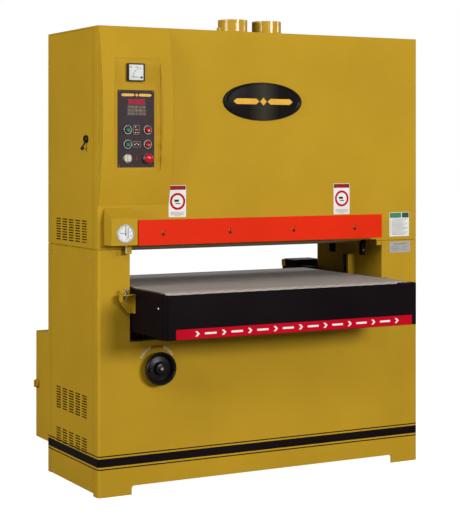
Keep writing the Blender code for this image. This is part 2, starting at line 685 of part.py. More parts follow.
def drive_v_belt():
    low, high = (MOTOR_Y, MOTOR_Z), (DRUM_Y, DRUM_Z)
    inside, outside = PULLEY_RADIUS + ROLL_GAP, PULLEY_RADIUS + 0.010
    outlines = [loop_round(low, outside, high, outside), loop_round(low, inside, high, inside)]
    middle = (PULLEY_LEFT + PULLEY_RIGHT) / 2
    belt = plate("drive_v_belt", outlines, 0.060, (middle, 0.0, 0.0), FACING_SIDE)
    return paint(smooth(belt), "belt_rubber", (0.02, 0.02, 0.02), 0.7)


def abrasive_belt():
    low, high = (DRUM_Y, DRUM_Z), (DRUM_Y, TENSION_Z)
    drum_round, roller_round = DRUM_RADIUS + ROLL_GAP, TENSION_RADIUS + ROLL_GAP
    inner = loop_round(low, drum_round, high, roller_round)
    outer = loop_round(low, drum_round + SANDING_BELT, high, roller_round + SANDING_BELT)
    belt = plate("abrasive_belt", [outer, inner], 1.092, (ROD_X, 0.0, 0.0), FACING_SIDE)
    return paint(smooth(belt), "abrasive", (0.30, 0.10, 0.05), 0.9)


def drum_bearing_left():
    """The drum's removable left bearing, on a plate across the left column's top."""
    bearing = box("drum_bearing_left", (0.104, DRUM_Y - 0.050, SEAM + 0.0020), (0.136, DRUM_Y + 0.050, 1.150))
    join(bearing, box("bearing_plate", (0.030, 0.012, SEAM + GAP), (0.140, DEPTH - 0.012, SEAM + 0.0063)))
    cut(bearing, rod("left_bore", (0.09, DRUM_Y, DRUM_Z), (0.15, DRUM_Y, DRUM_Z), DRUM_JOURNAL + BORE_GAP))
    return black(bearing)


def head_frame():
    """The drive side's frame plate, the drum's bearing and the beam that reaches inside the belt."""
    plate_left, plate_right = 1.4045, 1.4165
    outlines = [rectangle(0.012, SEAM + GAP, DEPTH - 0.012, 1.860)]
    outlines.append(circle((DRUM_Y, DRUM_Z), DRUM_JOURNAL + BORE_GAP, ROUND))
    middle = (plate_left + plate_right) / 2
    frame = plate("head_frame", outlines, plate_right - plate_left, (middle, 0.0, 0.0), FACING_SIDE)
    left, low, high, thick = 0.250, 1.300, 1.420, 0.008
    front, back = DRUM_Y - 0.040, DRUM_Y + 0.040
    join(frame, box("head_beam", (left, front, low), (plate_left + 0.002, back, high)))
    hollow_high = (plate_left - thick, back - thick, high - thick)
    cut(frame, box("beam_hollow", (left - 0.1, front + thick, low + thick), hollow_high))
    return steel(frame)


def tension_cylinder():
    low, high, floor, bore = 1.4203, 1.600, 1.450, ROD_RADIUS + BORE_GAP
    profile = [(bore, high), (0.035, high), (0.035, low), (0.0, low), (0.0, floor), (bore, floor)]
    cylinder = turned("tension_cylinder", profile, (ROD_X, DRUM_Y, 0.0), "up", 24)
    return paint(cylinder, "cylinder_grey", STEEL, 0.3, 0.8)


def tension_rod():
    return chrome(rod("tension_rod", (ROD_X, DRUM_Y, 1.475), (ROD_X, DRUM_Y, YOKE_Z - GAP), ROD_RADIUS, 24))


def tension_yoke():
    """A bar with two upright ears, which holds the tension roller and turns on the rod's top."""
    front, back, ear = DRUM_Y - 0.022, DRUM_Y + 0.022, 0.010
    left, right = 0.168, 1.354
    yoke = box("tension_yoke", (left, front, YOKE_Z), (right, back, YOKE_Z + 0.032), (ROD_X, DRUM_Y, YOKE_Z))
    for side, x in (("left", left), ("right", right - ear)):
        join(yoke, box("yoke_ear_" + side, (x, front, YOKE_Z + 0.020), (x + ear, back, YOKE_Z + 0.200)))
    bore = ROD_RADIUS + BORE_GAP
    cut(yoke, rod("yoke_bore", (0.10, DRUM_Y, TENSION_Z), (1.40, DRUM_Y, TENSION_Z), bore, 24))
    return steel(yoke)


def tension_roller():
    ends, journals = (ROLL_LEFT, ROLL_RIGHT), (0.166, 1.356)
    tube = roller("tension_roller", DRUM_Y, TENSION_Z, ends, journals, TENSION_RADIUS, ROD_RADIUS, 24)
    hollow_out(tube, DRUM_Y, TENSION_Z, ends, TENSION_RADIUS, 0.008, 0.030)
    return tube


def pressure_frame(side, y):
    """A sprung hold-down bar over its roller, with a hanger at each end."""
    left, right, low, high = 0.152, 1.370, 1.0620, 1.0720
    front, back, thick = y - 0.013, y + 0.013, 0.018
    bar = box("pressure_frame_" + side, (left, front, low), (right, back, high))
    join(
        bar,
        box("hanger_left_" + side, (left, front, 1.0100), (left + thick, back, low + 0.002)),
        box("hanger_right_" + side, (right - thick, front, 0.9470), (right, back, low + 0.002)),
    )
    cut(bar, rod("hanger_bore_" + side, (0.10, y, PRESSURE_Z), (1.50, y, PRESSURE_Z), 0.0103, SMALL))
    return black(bar)


def pressure_roller(side, y):
    ends, journals = (0.180, 1.342), (0.153, 1.369)
    return roller("pressure_roller_" + side, y, PRESSURE_Z, ends, journals, PRESSURE_RADIUS, 0.0100, SMALL)


# ---------------------------------------------------------------- table


def table_frame():
    """Two side plates and two cross beams."""
    journals = [circle((y, FEED_AXLE_Z), 0.0153, 24) for y in (FEED_IDLER_Y, FEED_DRIVE_Y)]
    border = rectangle(-0.340, TABLE_FLOOR, TABLE_REAR, 0.8535)
    outlines, thick = [border] + journals, 0.007
    frame = plate("table_frame", outlines, thick, (TABLE_LEFT + thick / 2, 0.0, 0.0), FACING_SIDE)
    right = plate("table_right_side", outlines, thick, (TABLE_RIGHT - thick / 2, 0.0, 0.0), FACING_SIDE)
    inside_left, inside_right = TABLE_LEFT + 0.003, TABLE_RIGHT - 0.003
    for end, y in (("front", 0.080), ("rear", 0.470)):
        low, high = (inside_left, y - 0.025, BEAM_FLOOR), (inside_right, y + 0.025, 0.702)
        join(frame, box("table_beam_" + end, low, high))
    join(frame, right)
    return black(frame)


def table_bed():
    high = TABLE_TOP - FEED_BELT - GAP
    low = high - 0.012
    bed = box("table_bed", (TABLE_LEFT + 0.0073, -0.225, low), (TABLE_RIGHT - 0.0073, 0.487, high))
    return steel(bed)


def feed_belt():
    """The conveyor's rubber belt, round its two rollers."""
    inner, outer = FEED_RADIUS + ROLL_GAP, FEED_RADIUS + ROLL_GAP + FEED_BELT

    def loop(radius):
        rear = arc((FEED_DRIVE_Y, FEED_AXLE_Z), radius, -90.0, 90.0, 14)
        front = arc((FEED_IDLER_Y, FEED_AXLE_Z), radius, 90.0, 270.0, 14)
        return rear + front

    left, right = TABLE_LEFT + 0.009, TABLE_RIGHT - 0.009
    middle = (left + right) / 2
    belt = plate("feed_belt", [loop(outer), loop(inner)], right - left, (middle, 0.0, 0.0), FACING_SIDE)
    return paint(smooth(belt), "feed_rubber", RUBBER, 0.8)


def feed_roller(name, y, right_end):
    ends, journals = (0.170, 1.310), (TABLE_LEFT + 0.001, right_end)
    tube = roller(name, y, FEED_AXLE_Z, ends, journals, FEED_RADIUS, 0.0150, 24)
    hollow_out(tube, y, FEED_AXLE_Z, ends, FEED_RADIUS, 0.008, 0.028)
    return tube


def feed_gearmotor():
    """The gearbox on the drive roller's end, with its motor behind it."""
    gearbox = box("feed_gearmotor", (TABLE_RIGHT + 0.0033, 0.490, 0.730), (1.3735, 0.612, 0.866))
    join(gearbox, box("gearmotor_case", (1.312, 0.6040, 0.720), (1.470, 0.735, 0.893)))
    bore_start, bore_end = (1.32, FEED_DRIVE_Y, FEED_AXLE_Z), (1.365, FEED_DRIVE_Y, FEED_AXLE_Z)
    cut(gearbox, rod("gearbox_bore", bore_start, bore_end, 0.0153, 24))
    return black(gearbox)


def jack_screw(number, x, y):
    screw = rod("jack_screw_%d" % number, (x, y, 0.120), (x, y, BEAM_FLOOR - GAP), JACK_RADIUS, SMALL)
    return steel(screw)


def lift_base():
    """The base plate with the four screw jacks' housings and the handwheel's gearbox."""
    base = box("lift_base", (0.010, 0.010, 0.050), (WIDTH - 0.010, DEPTH - 0.010, 0.060))
    for number, (x, y) in enumerate(JACKS, 1):
        bore, outer, low, floor, high = JACK_RADIUS + GAP, 0.042, 0.058, 0.110, 0.360
        profile = [(bore, high), (0.036, high), (outer, high - 0.010), (outer, low)]
        profile += [(0.0, low), (0.0, floor), (bore, floor)]
        join(base, turned("jack_housing_%d" % number, profile, (x, y, 0.0), "up", SMALL))
    gearbox = (WHEEL_X - 0.045, 0.130, WHEEL_Z - 0.060), (WHEEL_X + 0.045, 0.240, WHEEL_Z + 0.060)
    post = (WHEEL_X - 0.030, 0.150, 0.055), (WHEEL_X + 0.030, 0.220, WHEEL_Z - 0.050)
    join(base, box("wheel_gearbox", *gearbox), box("gearbox_post", *post))
    return black(base)


def handwheel():
    """A dished wheel on a shaft, with a small spinner plug on its web."""
    rim, web, hub = -0.030, -0.033, -0.043
    profile = [
        (0.0, -hub + 0.010), (0.010, -hub + 0.008), (0.012, -hub), (0.022, -hub - 0.002),
        (0.026, -web - 0.006),
        (0.050, -web - 0.012), (0.058, -web + 0.006), (0.064, -rim + 0.018), (0.069, -rim + 0.014),
        (WHEEL_RADIUS, -rim + 0.006), (0.068, -rim - 0.002), (0.060, -rim - 0.004), (0.052, -rim - 0.016),
        (0.024, -rim - 0.014), (0.020, 0.010), (0.0125, 0.008), (0.0125, -0.1297), (0.0, -0.1297),
    ]
    wheel = turned("handwheel", profile, (WHEEL_X, 0.0, WHEEL_Z), "front", 24)
    plug_x, plug_z = WHEEL_X - 0.042, WHEEL_Z - 0.004
    join(wheel, rod("wheel_plug", (plug_x, -0.015, plug_z), (plug_x, -0.037, plug_z), 0.0085, SMALL))
    return black(wheel)


def limit_bracket():
    """A gusseted bracket on the table's left side, which carries the upper limit's bolt."""
    flange_top, right, left, back, front = 0.835, TABLE_LEFT - GAP, 0.080, -0.030, -0.064
    low, inner, foot_front = 0.757, right - 0.003, -0.042
    flange = [(left, front), (0.119, front), (right - 0.002, foot_front), (right - 0.002, back), (left, back)]
    bracket = plate("limit_bracket", [flange], 0.004, (0.0, 0.0, flange_top - 0.002))
    web = [(left + 0.001, flange_top - 0.002), (left + 0.001, 0.806), (0.122, low), (inner, low)]
    web.append((inner, flange_top - 0.002))
    join(
        bracket,
        plate("bracket_web", [web], 0.004, (0.0, back - 0.002, 0.0), FACING_FRONT),
        box("bracket_lip", (left + 0.0015, -0.060, 0.808), (left + 0.0045, back - 0.002, flange_top - 0.002)),
        box("bracket_foot", (right - 0.005, foot_front, low - 0.002), (right, back - 0.001, flange_top - 0.001)),
    )
    cut(bracket, rod("bolt_hole", (LIMIT_X, LIMIT_Y, 0.80), (LIMIT_X, LIMIT_Y, 0.86), 0.0045, SMALL))
    return yellow(bracket)


def limit_bolt():
    """A bolt with a nut on each side of the bracket's flange."""
    shank, nut = 0.0040, 0.0085
    profile = [
        (0.0, 0.8570), (nut, 0.8570), (nut, 0.8510), (shank, 0.8510), (shank, 0.8430), (nut, 0.8430),
        (nut, 0.8353), (shank, 0.8353), (shank, 0.8307), (nut, 0.8307), (nut, 0.8240), (shank, 0.8240),
        (shank, 0.8180), (0.0, 0.8180),
    ]
    return chrome(turned("limit_bolt", profile, (LIMIT_X, LIMIT_Y, 0.0), "up", 12))


def estop_apron():
    """The front panel that stops the machine when it is pushed: a sheet with two rounded returns."""
    left, right, front, back, radius = 0.130, 1.345, -FRONT_REACH, -0.285, 0.022

    def path(inset):
        bend = radius - inset
        corner_left = arc((left + radius, front + radius), bend, 180.0, 270.0, 5)
        corner_right = arc((right - radius, front + radius), bend, 270.0, 360.0, 5)
        return [(left + inset, back)] + corner_left + corner_right + [(right - inset, back)]

    low, high = 0.677, 0.856
    pivot = Vector((0.0, front + 0.006, high - 0.008))
    sheet = plate("estop_apron", [path(0.0) + path(SKIN)[::-1]], high - low, pivot, FLAT)
    sheet.data.transform(Matrix.Translation((0.0, -pivot.y, (high + low) / 2 - pivot.z)))
    return black(sheet)


def guide_post():
    return black(rod("guide_post", (1.374, 0.268, THROAT_FLOOR + GAP), (1.374, 0.268, 0.943), 0.0085, SMALL))


def guide_bar():
    return yellow(box("guide_bar", (1.366, 0.222, THROAT_FLOOR + GAP), (THROAT_RIGHT - GAP, 0.234, 0.943)))


# ---------------------------------------------------------------- electrical cabinet


def electrical_cabinet():
    """A steel box on the back wall, open behind for its door."""
    low, high = (BOX_LEFT, DEPTH + GAP, BOX_FLOOR), (BOX_RIGHT, DEPTH + REAR_REACH - 0.0120, BOX_TOP)
    case = box("electrical_cabinet", low, high)
    inside = 0.0025
    cut(
        case,
        box(
            "box_hollow",
            (low[0] + inside, low[1] + inside, low[2] + inside),
            (high[0] - inside, 0.9, high[2] - inside),
        ),
        rod("knob_hole", (0.0, 0.725, 0.372), (0.05, 0.725, 0.372), 0.0080, SMALL),
    )
    for number, x in enumerate((0.060, 0.115, 0.170), 1):
        low, high = (x, 0.600, BOX_TOP - 0.002), (x, 0.600, BOX_TOP + 0.022)
        join(case, rod("cable_gland_%d" % number, low, high, 0.0135, 12))
    return yellow(case)


def electrical_door():
    """The cabinet's rear door, hinged on its right edge, with a turned-in stiffening rim and a lock boss."""
    low, high = DEPTH + REAR_REACH - 0.0117, DEPTH + REAR_REACH - 0.0090
    pivot = (BOX_RIGHT - 0.0005, high, 0.0)
    edge = 0.0005
    door_low, door_high = (BOX_LEFT + edge, low, BOX_FLOOR + edge), (pivot[0], high, BOX_TOP - edge)
    door = box("electrical_door", door_low, door_high, pivot)
    lock = rod("door_lock", (0.075, low + 0.001, 0.369), (0.075, DEPTH + REAR_REACH, 0.369), 0.014, SMALL)
    return yellow(join(door, lock))


def main_switch_knob():
    """The main switch on the electrical cabinet's left side: a disc with a grip bar."""
    y, z = 0.725, 0.372
    pivot = (0.0, y, z)
    disc = rod("main_switch_knob", (0.0085, y, z), (BOX_LEFT - GAP, y, z), 0.0190, 24, pivot)
    join(
        disc,
        box("knob_grip", (0.0, y - 0.0055, z - 0.0170), (0.0100, y + 0.0055, z + 0.0170)),
        rod("knob_spindle", (0.015, y, z), (0.040, y, z), 0.0070, 12),
    )
    return black(disc)


def contactor_bank():
    """The contactors, side by side on their mounting plate."""
    plate_back = DEPTH + 0.0035 + GAP
    bank = box("contactor_bank", (0.070, plate_back, 0.180), (0.570, plate_back + 0.003, 0.560))
    for number, x in enumerate((0.120, 0.240, 0.360, 0.480), 1):
        low, high = (x - 0.038, plate_back + 0.001, 0.330), (x + 0.038, plate_back + 0.090, 0.440)
        join(bank, box("contactor_%d" % number, low, high))
    return paint(bank, "contactor_grey", GREY, 0.5)


# ---------------------------------------------------------------- assembly


clear_scene()
PARTS = new_collection("wide_belt_sander")
CUTTERS = new_collection("cutters")
CABINET_CORNER = bpy.data.objects.new("cabinet_corner", None)
CABINET_CORNER.location = ((LATCH_REACH - WIDTH) / 2, (FRONT_REACH - DEPTH - REAR_REACH) / 2, 0.0)
PARTS.objects.link(CABINET_CORNER)

lower_housing()
lower_side_cover()
upper_housing()
belt_door()
door_latch()
for port_side, port_x in zip(("left", "right"), PORT_XS):
    dust_port(port_side, port_x)
oval_badge()
control_fairing()
control_plate()
for group in ("drum", "feed"):
    push_button(group + "_start_button", START_X, BUTTON_ROWS[group], GREEN)
    push_button(group + "_stop_button", STOP_X, BUTTON_ROWS[group], (0.60, 0.01, 0.02))
emergency_stop_button()
selector_switch()
load_meter()
meter_needle()
gauge_box()
gauge_dial()
gauge_pointer()
limit_plunger()
guard_carrier()
guard_board()
contact_drum()
motor_pulley()
main_motor()
drive_v_belt()
abrasive_belt()
drum_bearing_left()
head_frame()
tension_cylinder()
tension_rod()
tension_yoke()
tension_roller()
for roller_side, roller_y in PRESSURE_YS.items():
    pressure_frame(roller_side, roller_y)
    pressure_roller(roller_side, roller_y)
table_frame()
table_bed()
feed_belt()
feed_roller("feed_idler_roller", FEED_IDLER_Y, 1.329)
feed_roller("feed_drive_roller", FEED_DRIVE_Y, 1.360)
feed_gearmotor()
for jack_number, (jack_x, jack_y) in enumerate(JACKS, 1):
    jack_screw(jack_number, jack_x, jack_y)
lift_base()
handwheel()
limit_bracket()
limit_bolt()
estop_apron()
guide_post()
guide_bar()
electrical_cabinet()
electrical_door()
main_switch_knob()
contactor_bank()
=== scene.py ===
"""The looks of a floor-standing wide-belt sanding machine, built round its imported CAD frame.

Lengths are in metres. Places are written from the cabinet's front left bottom corner: across from the left
wall, back from the front wall, and up. The base's own CAD box gives that corner.
"""

import math

import bmesh
import bpy
from mathutils import Matrix, Vector


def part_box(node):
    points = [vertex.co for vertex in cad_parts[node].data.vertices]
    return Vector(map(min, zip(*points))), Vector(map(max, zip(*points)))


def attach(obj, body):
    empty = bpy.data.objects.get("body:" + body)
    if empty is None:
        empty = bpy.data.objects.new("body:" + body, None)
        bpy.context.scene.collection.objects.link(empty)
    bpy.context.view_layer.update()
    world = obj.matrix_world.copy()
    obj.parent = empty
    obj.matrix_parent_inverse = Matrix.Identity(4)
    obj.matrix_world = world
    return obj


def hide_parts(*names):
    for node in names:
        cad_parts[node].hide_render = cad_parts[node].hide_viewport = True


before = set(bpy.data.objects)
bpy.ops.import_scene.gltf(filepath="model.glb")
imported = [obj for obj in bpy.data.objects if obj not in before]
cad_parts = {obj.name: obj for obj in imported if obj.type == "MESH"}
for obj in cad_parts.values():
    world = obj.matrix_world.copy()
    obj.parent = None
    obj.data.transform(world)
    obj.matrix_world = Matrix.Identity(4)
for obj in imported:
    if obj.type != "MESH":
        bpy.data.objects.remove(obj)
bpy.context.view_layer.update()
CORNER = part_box("lower_housing")[0]

# ---------------------------------------------------------------- driving dimensions

WIDTH, DEPTH, HEIGHT, SEAM = 1.6, 0.55, 1.94, 1.017
SKIN, WALL, HAIR, FOLD = 0.003, 0.006, 0.0003, 0.014
SIDE_FRONT, SIDE_BACK = 0.05, 0.52
THROAT_LEFT, THROAT_RIGHT, THROAT_FLOOR = 0.143, 1.402, 0.632
FOOT_LEFT, FOOT_RIGHT, FOOT_TOP, FOOT_BEND = 0.152, 1.4545, 0.037, 0.012
TABLE_LEFT, TABLE_RIGHT, TABLE_FLOOR = 0.15, 1.33, 0.675
FEED_IDLER_Y, FEED_DRIVE_Y, FEED_AXLE_Z, FEED_OUTER = -0.284, 0.546, 0.806, 0.054
APRON_LEFT, APRON_RIGHT, APRON_FRONT, APRON_BACK = 0.13, 1.345, -0.36, -0.285
APRON_FLOOR, APRON_TOP, APRON_BEND = 0.677, 0.856, 0.022
FAIRING_LEFT, FAIRING_RIGHT, FAIRING_FLOOR, BULGE = 0.003, 0.322, 1.2, 0.045
RECESS_LEFT, RECESS_RIGHT, RECESS_FLOOR, RECESS_TOP = 0.0646, 0.2672, 1.343, 1.807
PANEL_Y, RECESS_DRAFT, RECESS_WALL = -0.025, 0.54, 0.014
PANEL_X, PANEL_WIDTH, PANEL_FLOOR, PANEL_TOP = 0.1589, 0.165, 1.357, 1.676
START_X, STOP_X, DRUM_ROW, FEED_ROW, SWITCH_ROW = 0.1182, 0.2092, 1.512, 1.452, 1.394
METER_X, METER_Z, STAFF_X, STAFF_Z = 0.1545, 1.749, 0.1785, 1.728
HOOD_FRONT, GAUGE_LEFT, GAUGE_RIGHT, GAUGE_FLOOR = -0.075, 0.027, 0.144, 1.038
DIAL_X, DIAL_Z, DIAL_RADIUS = 0.0895, 1.086, 0.037
GUARD_LEFT, GUARD_RIGHT, GUARD_FLOOR, GUARD_TOP = 0.1475, 1.352, 1.036, 1.141
GUARD_SCREW_XS, GUARD_SCREW_Z, GUARD_TRAVEL = (0.261, 0.576, 0.891, 1.206), 1.0805, 0.0095
WHEEL_X, WHEEL_Z, WHEEL_RADIUS = 0.268, 0.518, 0.07
LATCH_Y, LATCH_Z = 0.116, 1.474
LIMIT_X, LIMIT_Y, NUT_RADIUS, GUIDE_TOP = 0.104, -0.047, 0.0085, 0.943
PORT_XS, PORT_Y, PORT_RADIUS, PORT_TOP = (0.76, 0.935), 0.24, 0.066, 2.01
BADGE_X, BADGE_Z, BADGE_WIDTH, BADGE_HEIGHT = 0.7765, 1.639, 0.393, 0.166
BOX_LEFT, BOX_RIGHT, BOX_FLOOR, BOX_TOP, BOX_BACK = 0.02, 0.62, 0.128, 0.61, 0.748
SWITCH_Y, SWITCH_Z, PRINT = 0.725, 0.372, (-0.0004, -0.00005)
BAND_LOW, BAND_HIGH, LINE_LOW, LINE_HIGH = 0.1255, 0.1596, 0.1155, 0.169

# The world's brightness as a light, and the camera's lens, upward shift, place and turn.
FILL_LIGHT = 0.06
LENS, LENS_SHIFT, EYE, EYE_TURN = 99.95, -0.2127, (-3.1886, -5.7267, 1.4215), -28.64

LOUVRE_COLUMNS, LOUVRE_ROWS, LOUVRE_FIRST_Y = 5, 9, 0.118
LOUVRE_COLUMN_PITCH, LOUVRE_ROW_PITCH, LOUVRE_WIDTH, LOUVRE_HEIGHT = 0.0715, 0.011, 0.052, 0.0052

# ---------------------------------------------------------------- shapes


def add_box(builder, low, high):
    low, high = Vector(low), Vector(high)
    matrix = Matrix.Translation((low + high) / 2) @ Matrix.Diagonal((*(high - low), 1.0))
    bmesh.ops.create_cube(builder, size=1.0, matrix=matrix)
    return builder


def box(low, high):
    return add_box(bmesh.new(), low, high)


AXES = {
    "left": Matrix(((0, 0, -1), (-1, 0, 0), (0, 1, 0))).to_4x4(),
    "right": Matrix(((0, 0, 1), (1, 0, 0), (0, 1, 0))).to_4x4(),
    "back": Matrix(((1, 0, 0), (0, 0, 1), (0, -1, 0))).to_4x4(),
    "front": Matrix(((1, 0, 0), (0, 0, -1), (0, 1, 0))).to_4x4(),
    "up": Matrix.Identity(4),
}


def add_turned(builder, profile, centre, axis="up", sides=48, squash=1.0, capped=True):
    """Turns a profile of (radius, distance along the axis) about an axis through the centre.

    A capped profile is closed with flat ends where it stops short of the axis.
    """
    if capped and profile[0][0] > 0.0:
        profile = [(0.0, profile[0][1])] + profile
    if capped and profile[-1][0] > 0.0:
        profile = profile + [(0.0, profile[-1][1])]
    turn = Matrix.Translation(centre) @ AXES[axis]
    rings = []
    for radius, along in profile:
        if radius == 0.0:
            rings.append([builder.verts.new(turn @ Vector((0.0, 0.0, along)))])
            continue
        angles = [2 * math.pi * step / sides for step in range(sides)]
        points = [(radius * math.cos(a), squash * radius * math.sin(a), along) for a in angles]
        rings.append([builder.verts.new(turn @ Vector(point)) for point in points])
    for first, second in zip(rings, rings[1:]):
        for step in range(sides):
            after = (step + 1) % sides
            if len(first) == 1:
                builder.faces.new((first[0], second[step], second[after]))
            elif len(second) == 1:
                builder.faces.new((first[step], second[0], first[after]))
            else:
                builder.faces.new((first[step], second[step], second[after], first[after]))
    bmesh.ops.recalc_face_normals(builder, faces=builder.faces)
    return builder


def turned(profile, centre, axis="up", sides=48, squash=1.0):
    return add_turned(bmesh.new(), profile, centre, axis, sides, squash)


def rod(radius, start, end, centre, axis="up", sides=48):
    return turned([(radius, start), (radius, end)], centre, axis, sides)


def closed_ring(profile, centre, axis="up", sides=48):
    """A profile that is closed round, turned about an axis."""
    made = add_turned(bmesh.new(), profile + profile[:1], centre, axis, sides, capped=False)
    bmesh.ops.remove_doubles(made, verts=made.verts, dist=1e-7)
    return made


def add_tube(builder, path, radius, sides=12):
    """A round bar along a path of points."""
    points = [Vector(place) for place in path]
    rings = []
    for number, point in enumerate(points):
        ahead = points[min(number + 1, len(points) - 1)] - points[max(number - 1, 0)]
        turn = ahead.to_track_quat("Z", "Y").to_matrix()
        angles = [2 * math.pi * step / sides for step in range(sides)]
        rings.append(
            [
                builder.verts.new(point + turn @ Vector((radius * math.cos(a), radius * math.sin(a), 0)))
                for a in angles
            ]
        )
    for first, second in zip(rings, rings[1:]):
        for step in range(sides):
            after = (step + 1) % sides
            builder.faces.new((first[step], first[after], second[after], second[step]))
    builder.faces.new(rings[0][::-1])
    builder.faces.new(rings[-1])
    return builder


def arc(centre, radius, start, end, steps):
    angles = [math.radians(start + (end - start) * step / steps) for step in range(steps + 1)]
    return [(centre[0] + radius * math.cos(a), centre[1] + radius * math.sin(a)) for a in angles]


def circle(centre, radius, sides=32):
    return arc(centre, radius, 0.0, 360.0 - 360.0 / sides, sides - 1)


def rectangle(left, low, right, high):
    return [(left, low), (right, low), (right, high), (left, high)]


def rounded(left, low, right, high, bend, steps=5):
    corners = ((right - bend, low + bend, -90), (right - bend, high - bend, 0))
    corners += ((left + bend, high - bend, 90), (left + bend, low + bend, 180))
    points = []
    for across, up, start in corners:
        points += arc((across, up), bend, start, start + 90, steps)
    return points


def rectangle_at(across, up, half_wide, half_high):
    return rectangle(across - half_wide, up - half_high, across + half_wide, up + half_high)


def rounded_at(across, up, half_wide, half_high, bend, steps=5):
    return rounded(across - half_wide, up - half_high, across + half_wide, up + half_high, bend, steps)


PLANES = {
    "flat": Matrix.Identity(4),
    "front": Matrix(((1, 0, 0), (0, 0, 1), (0, 1, 0))).to_4x4(),
    "side": Matrix(((0, 0, 1), (1, 0, 0), (0, 1, 0))).to_4x4(),
}


def slab(outlines, low, high, plane="front"):
    """An outline with holes, thick from low to high across its plane."""
    curve = bpy.data.curves.new("sketch", "CURVE")
    curve.dimensions = "2D"
    curve.fill_mode = "BOTH"
    curve.extrude = (high - low) / 2
    for outline in outlines:
        spline = curve.splines.new("POLY")
        spline.points.add(len(outline) - 1)
        for point, (across, up) in zip(spline.points, outline):
            point.co = (across, up, 0.0, 1.0)
        spline.use_cyclic_u = True
    sketch = bpy.data.objects.new("sketch", curve)
    mesh = evaluated_mesh(sketch)
    bpy.data.curves.remove(curve)
    builder = bmesh.new()
    builder.from_mesh(mesh)
    bpy.data.meshes.remove(mesh)
    bmesh.ops.remove_doubles(builder, verts=builder.verts, dist=1e-6)
    turn = PLANES[plane] @ Matrix.Translation((0.0, 0.0, (low + high) / 2))
    bmesh.ops.transform(builder, matrix=turn, verts=builder.verts)
    bmesh.ops.dissolve_limit(
        builder, angle_limit=math.radians(0.5), verts=builder.verts, edges=builder.edges, delimit={"NORMAL"}
    )
    bmesh.ops.recalc_face_normals(builder, faces=builder.faces)
    return builder


def evaluated_mesh(item):
    """The mesh that an object's modifiers make. The object is removed."""
    bpy.context.scene.collection.objects.link(item)
    graph = bpy.context.evaluated_depsgraph_get()
    mesh = bpy.data.meshes.new_from_object(item.evaluated_get(graph))
    bpy.data.objects.remove(item)
    return mesh


def as_object(builder, name="helper"):
    mesh = bpy.data.meshes.new(name)
    builder.to_mesh(mesh)
    builder.free()
    return bpy.data.objects.new(name, mesh)


def carved(builder, *cutters, operation="DIFFERENCE"):
    """The builder's solid after a Boolean with each of the others in turn."""
    base = as_object(builder)
    tools = [as_object(cutter) for cutter in cutters]
    for tool in tools:
        bpy.context.scene.collection.objects.link(tool)
        step = base.modifiers.new("step", "BOOLEAN")
        step.object = tool
        step.operation = operation
        step.solver = "EXACT"
    mesh = evaluated_mesh(base)
    for tool in tools:
        bpy.data.objects.remove(tool)
    result = bmesh.new()
    result.from_mesh(mesh)
    bpy.data.meshes.remove(mesh)
    return result


def joined(*builders):
    """Several builders' meshes as one, left as separate shells."""
    total = bmesh.new()
    for builder in builders:
        mesh = bpy.data.meshes.new("part")
        builder.to_mesh(mesh)
        builder.free()
        total.from_mesh(mesh)
        bpy.data.meshes.remove(mesh)
    return total


def piece(name, builder, material, body="root", replaces=(), edge=0.0, steps=2, sharp=50):
    """Makes an object of a builder's mesh, rounds its sharp edges, and fixes it to a body.
    """
    made = as_object(builder, name)
    if edge:
        rounding = made.modifiers.new("rounding", "BEVEL")
        rounding.width, rounding.segments = edge, steps
        rounding.limit_method, rounding.angle_limit = "ANGLE", math.radians(40)
        rounding.miter_outer = "MITER_ARC"
    mesh = evaluated_mesh(made)
    mesh.name = name
    mesh.materials.clear()
    mesh.materials.append(material)
    mesh.shade_smooth()
    mesh.set_sharp_from_angle(angle=math.radians(sharp))
    made = bpy.data.objects.new(name, mesh)
    made.location = CORNER
    bpy.context.scene.collection.objects.link(made)
    weights = made.modifiers.new("weights", "WEIGHTED_NORMAL")
    weights.keep_sharp = True
    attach(made, body)
    if replaces:
        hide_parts(*replaces)
    return made


def printed(name, outlines, face, thick, material):
    """Marks that stand a little proud of a face."""
    return piece(name, slab(outlines, face - thick, face), material)


def tick(centre, angle, low, high, half, from_top=False):
    """A radial bar. Its angle runs anticlockwise from the right, or clockwise from the top."""
    across, up = math.cos(angle), math.sin(angle)
    along, side = ((up, across), (across, -up)) if from_top else ((across, up), (-up, across))
    corners = ((low, -half), (high, -half), (high, half), (low, half))
    return [
        (centre[0] + u * along[0] + v * side[0], centre[1] + u * along[1] + v * side[1]) for u, v in corners
    ]


# ---------------------------------------------------------------- materials


def surface(name, colour, roughness=0.4, metallic=0.0):
    """A new material, its node tree and its shader."""
    material = bpy.data.materials.new(name)
    material.use_nodes = True
    tree = material.node_tree
    shader = tree.nodes["Principled BSDF"]
    shader.inputs["Base Color"].default_value = (*colour, 1.0)
    shader.inputs["Roughness"].default_value = roughness
    shader.inputs["Metallic"].default_value = metallic
    return material, tree, shader


def add_node(tree, kind, inputs=(), **settings):
    """A new node with some of its settings and its inputs' values."""
    made = tree.nodes.new("ShaderNode" + kind)
    for setting, value in settings.items():
        setattr(made, setting, value)
    for socket, value in dict(inputs).items():
        made.inputs[socket].default_value = value
    return made


def mapped(tree, inputs, source=None):
    """Coordinates after a mapping: the object's own, unless another source is given."""
    mapping = add_node(tree, "Mapping", inputs)
    tree.links.new(source or add_node(tree, "TexCoord").outputs["Object"], mapping.inputs["Vector"])
    return mapping.outputs["Vector"]


def noise(tree, scale, detail=3.0, stretch=(1.0, 1.0, 1.0)):
    """Noise in the object's own coordinates, in features per metre."""
    texture = add_node(tree, "TexNoise", {"Scale": scale, "Detail": detail})
    tree.links.new(mapped(tree, {"Scale": stretch}), texture.inputs["Vector"])
    return texture.outputs["Fac"]


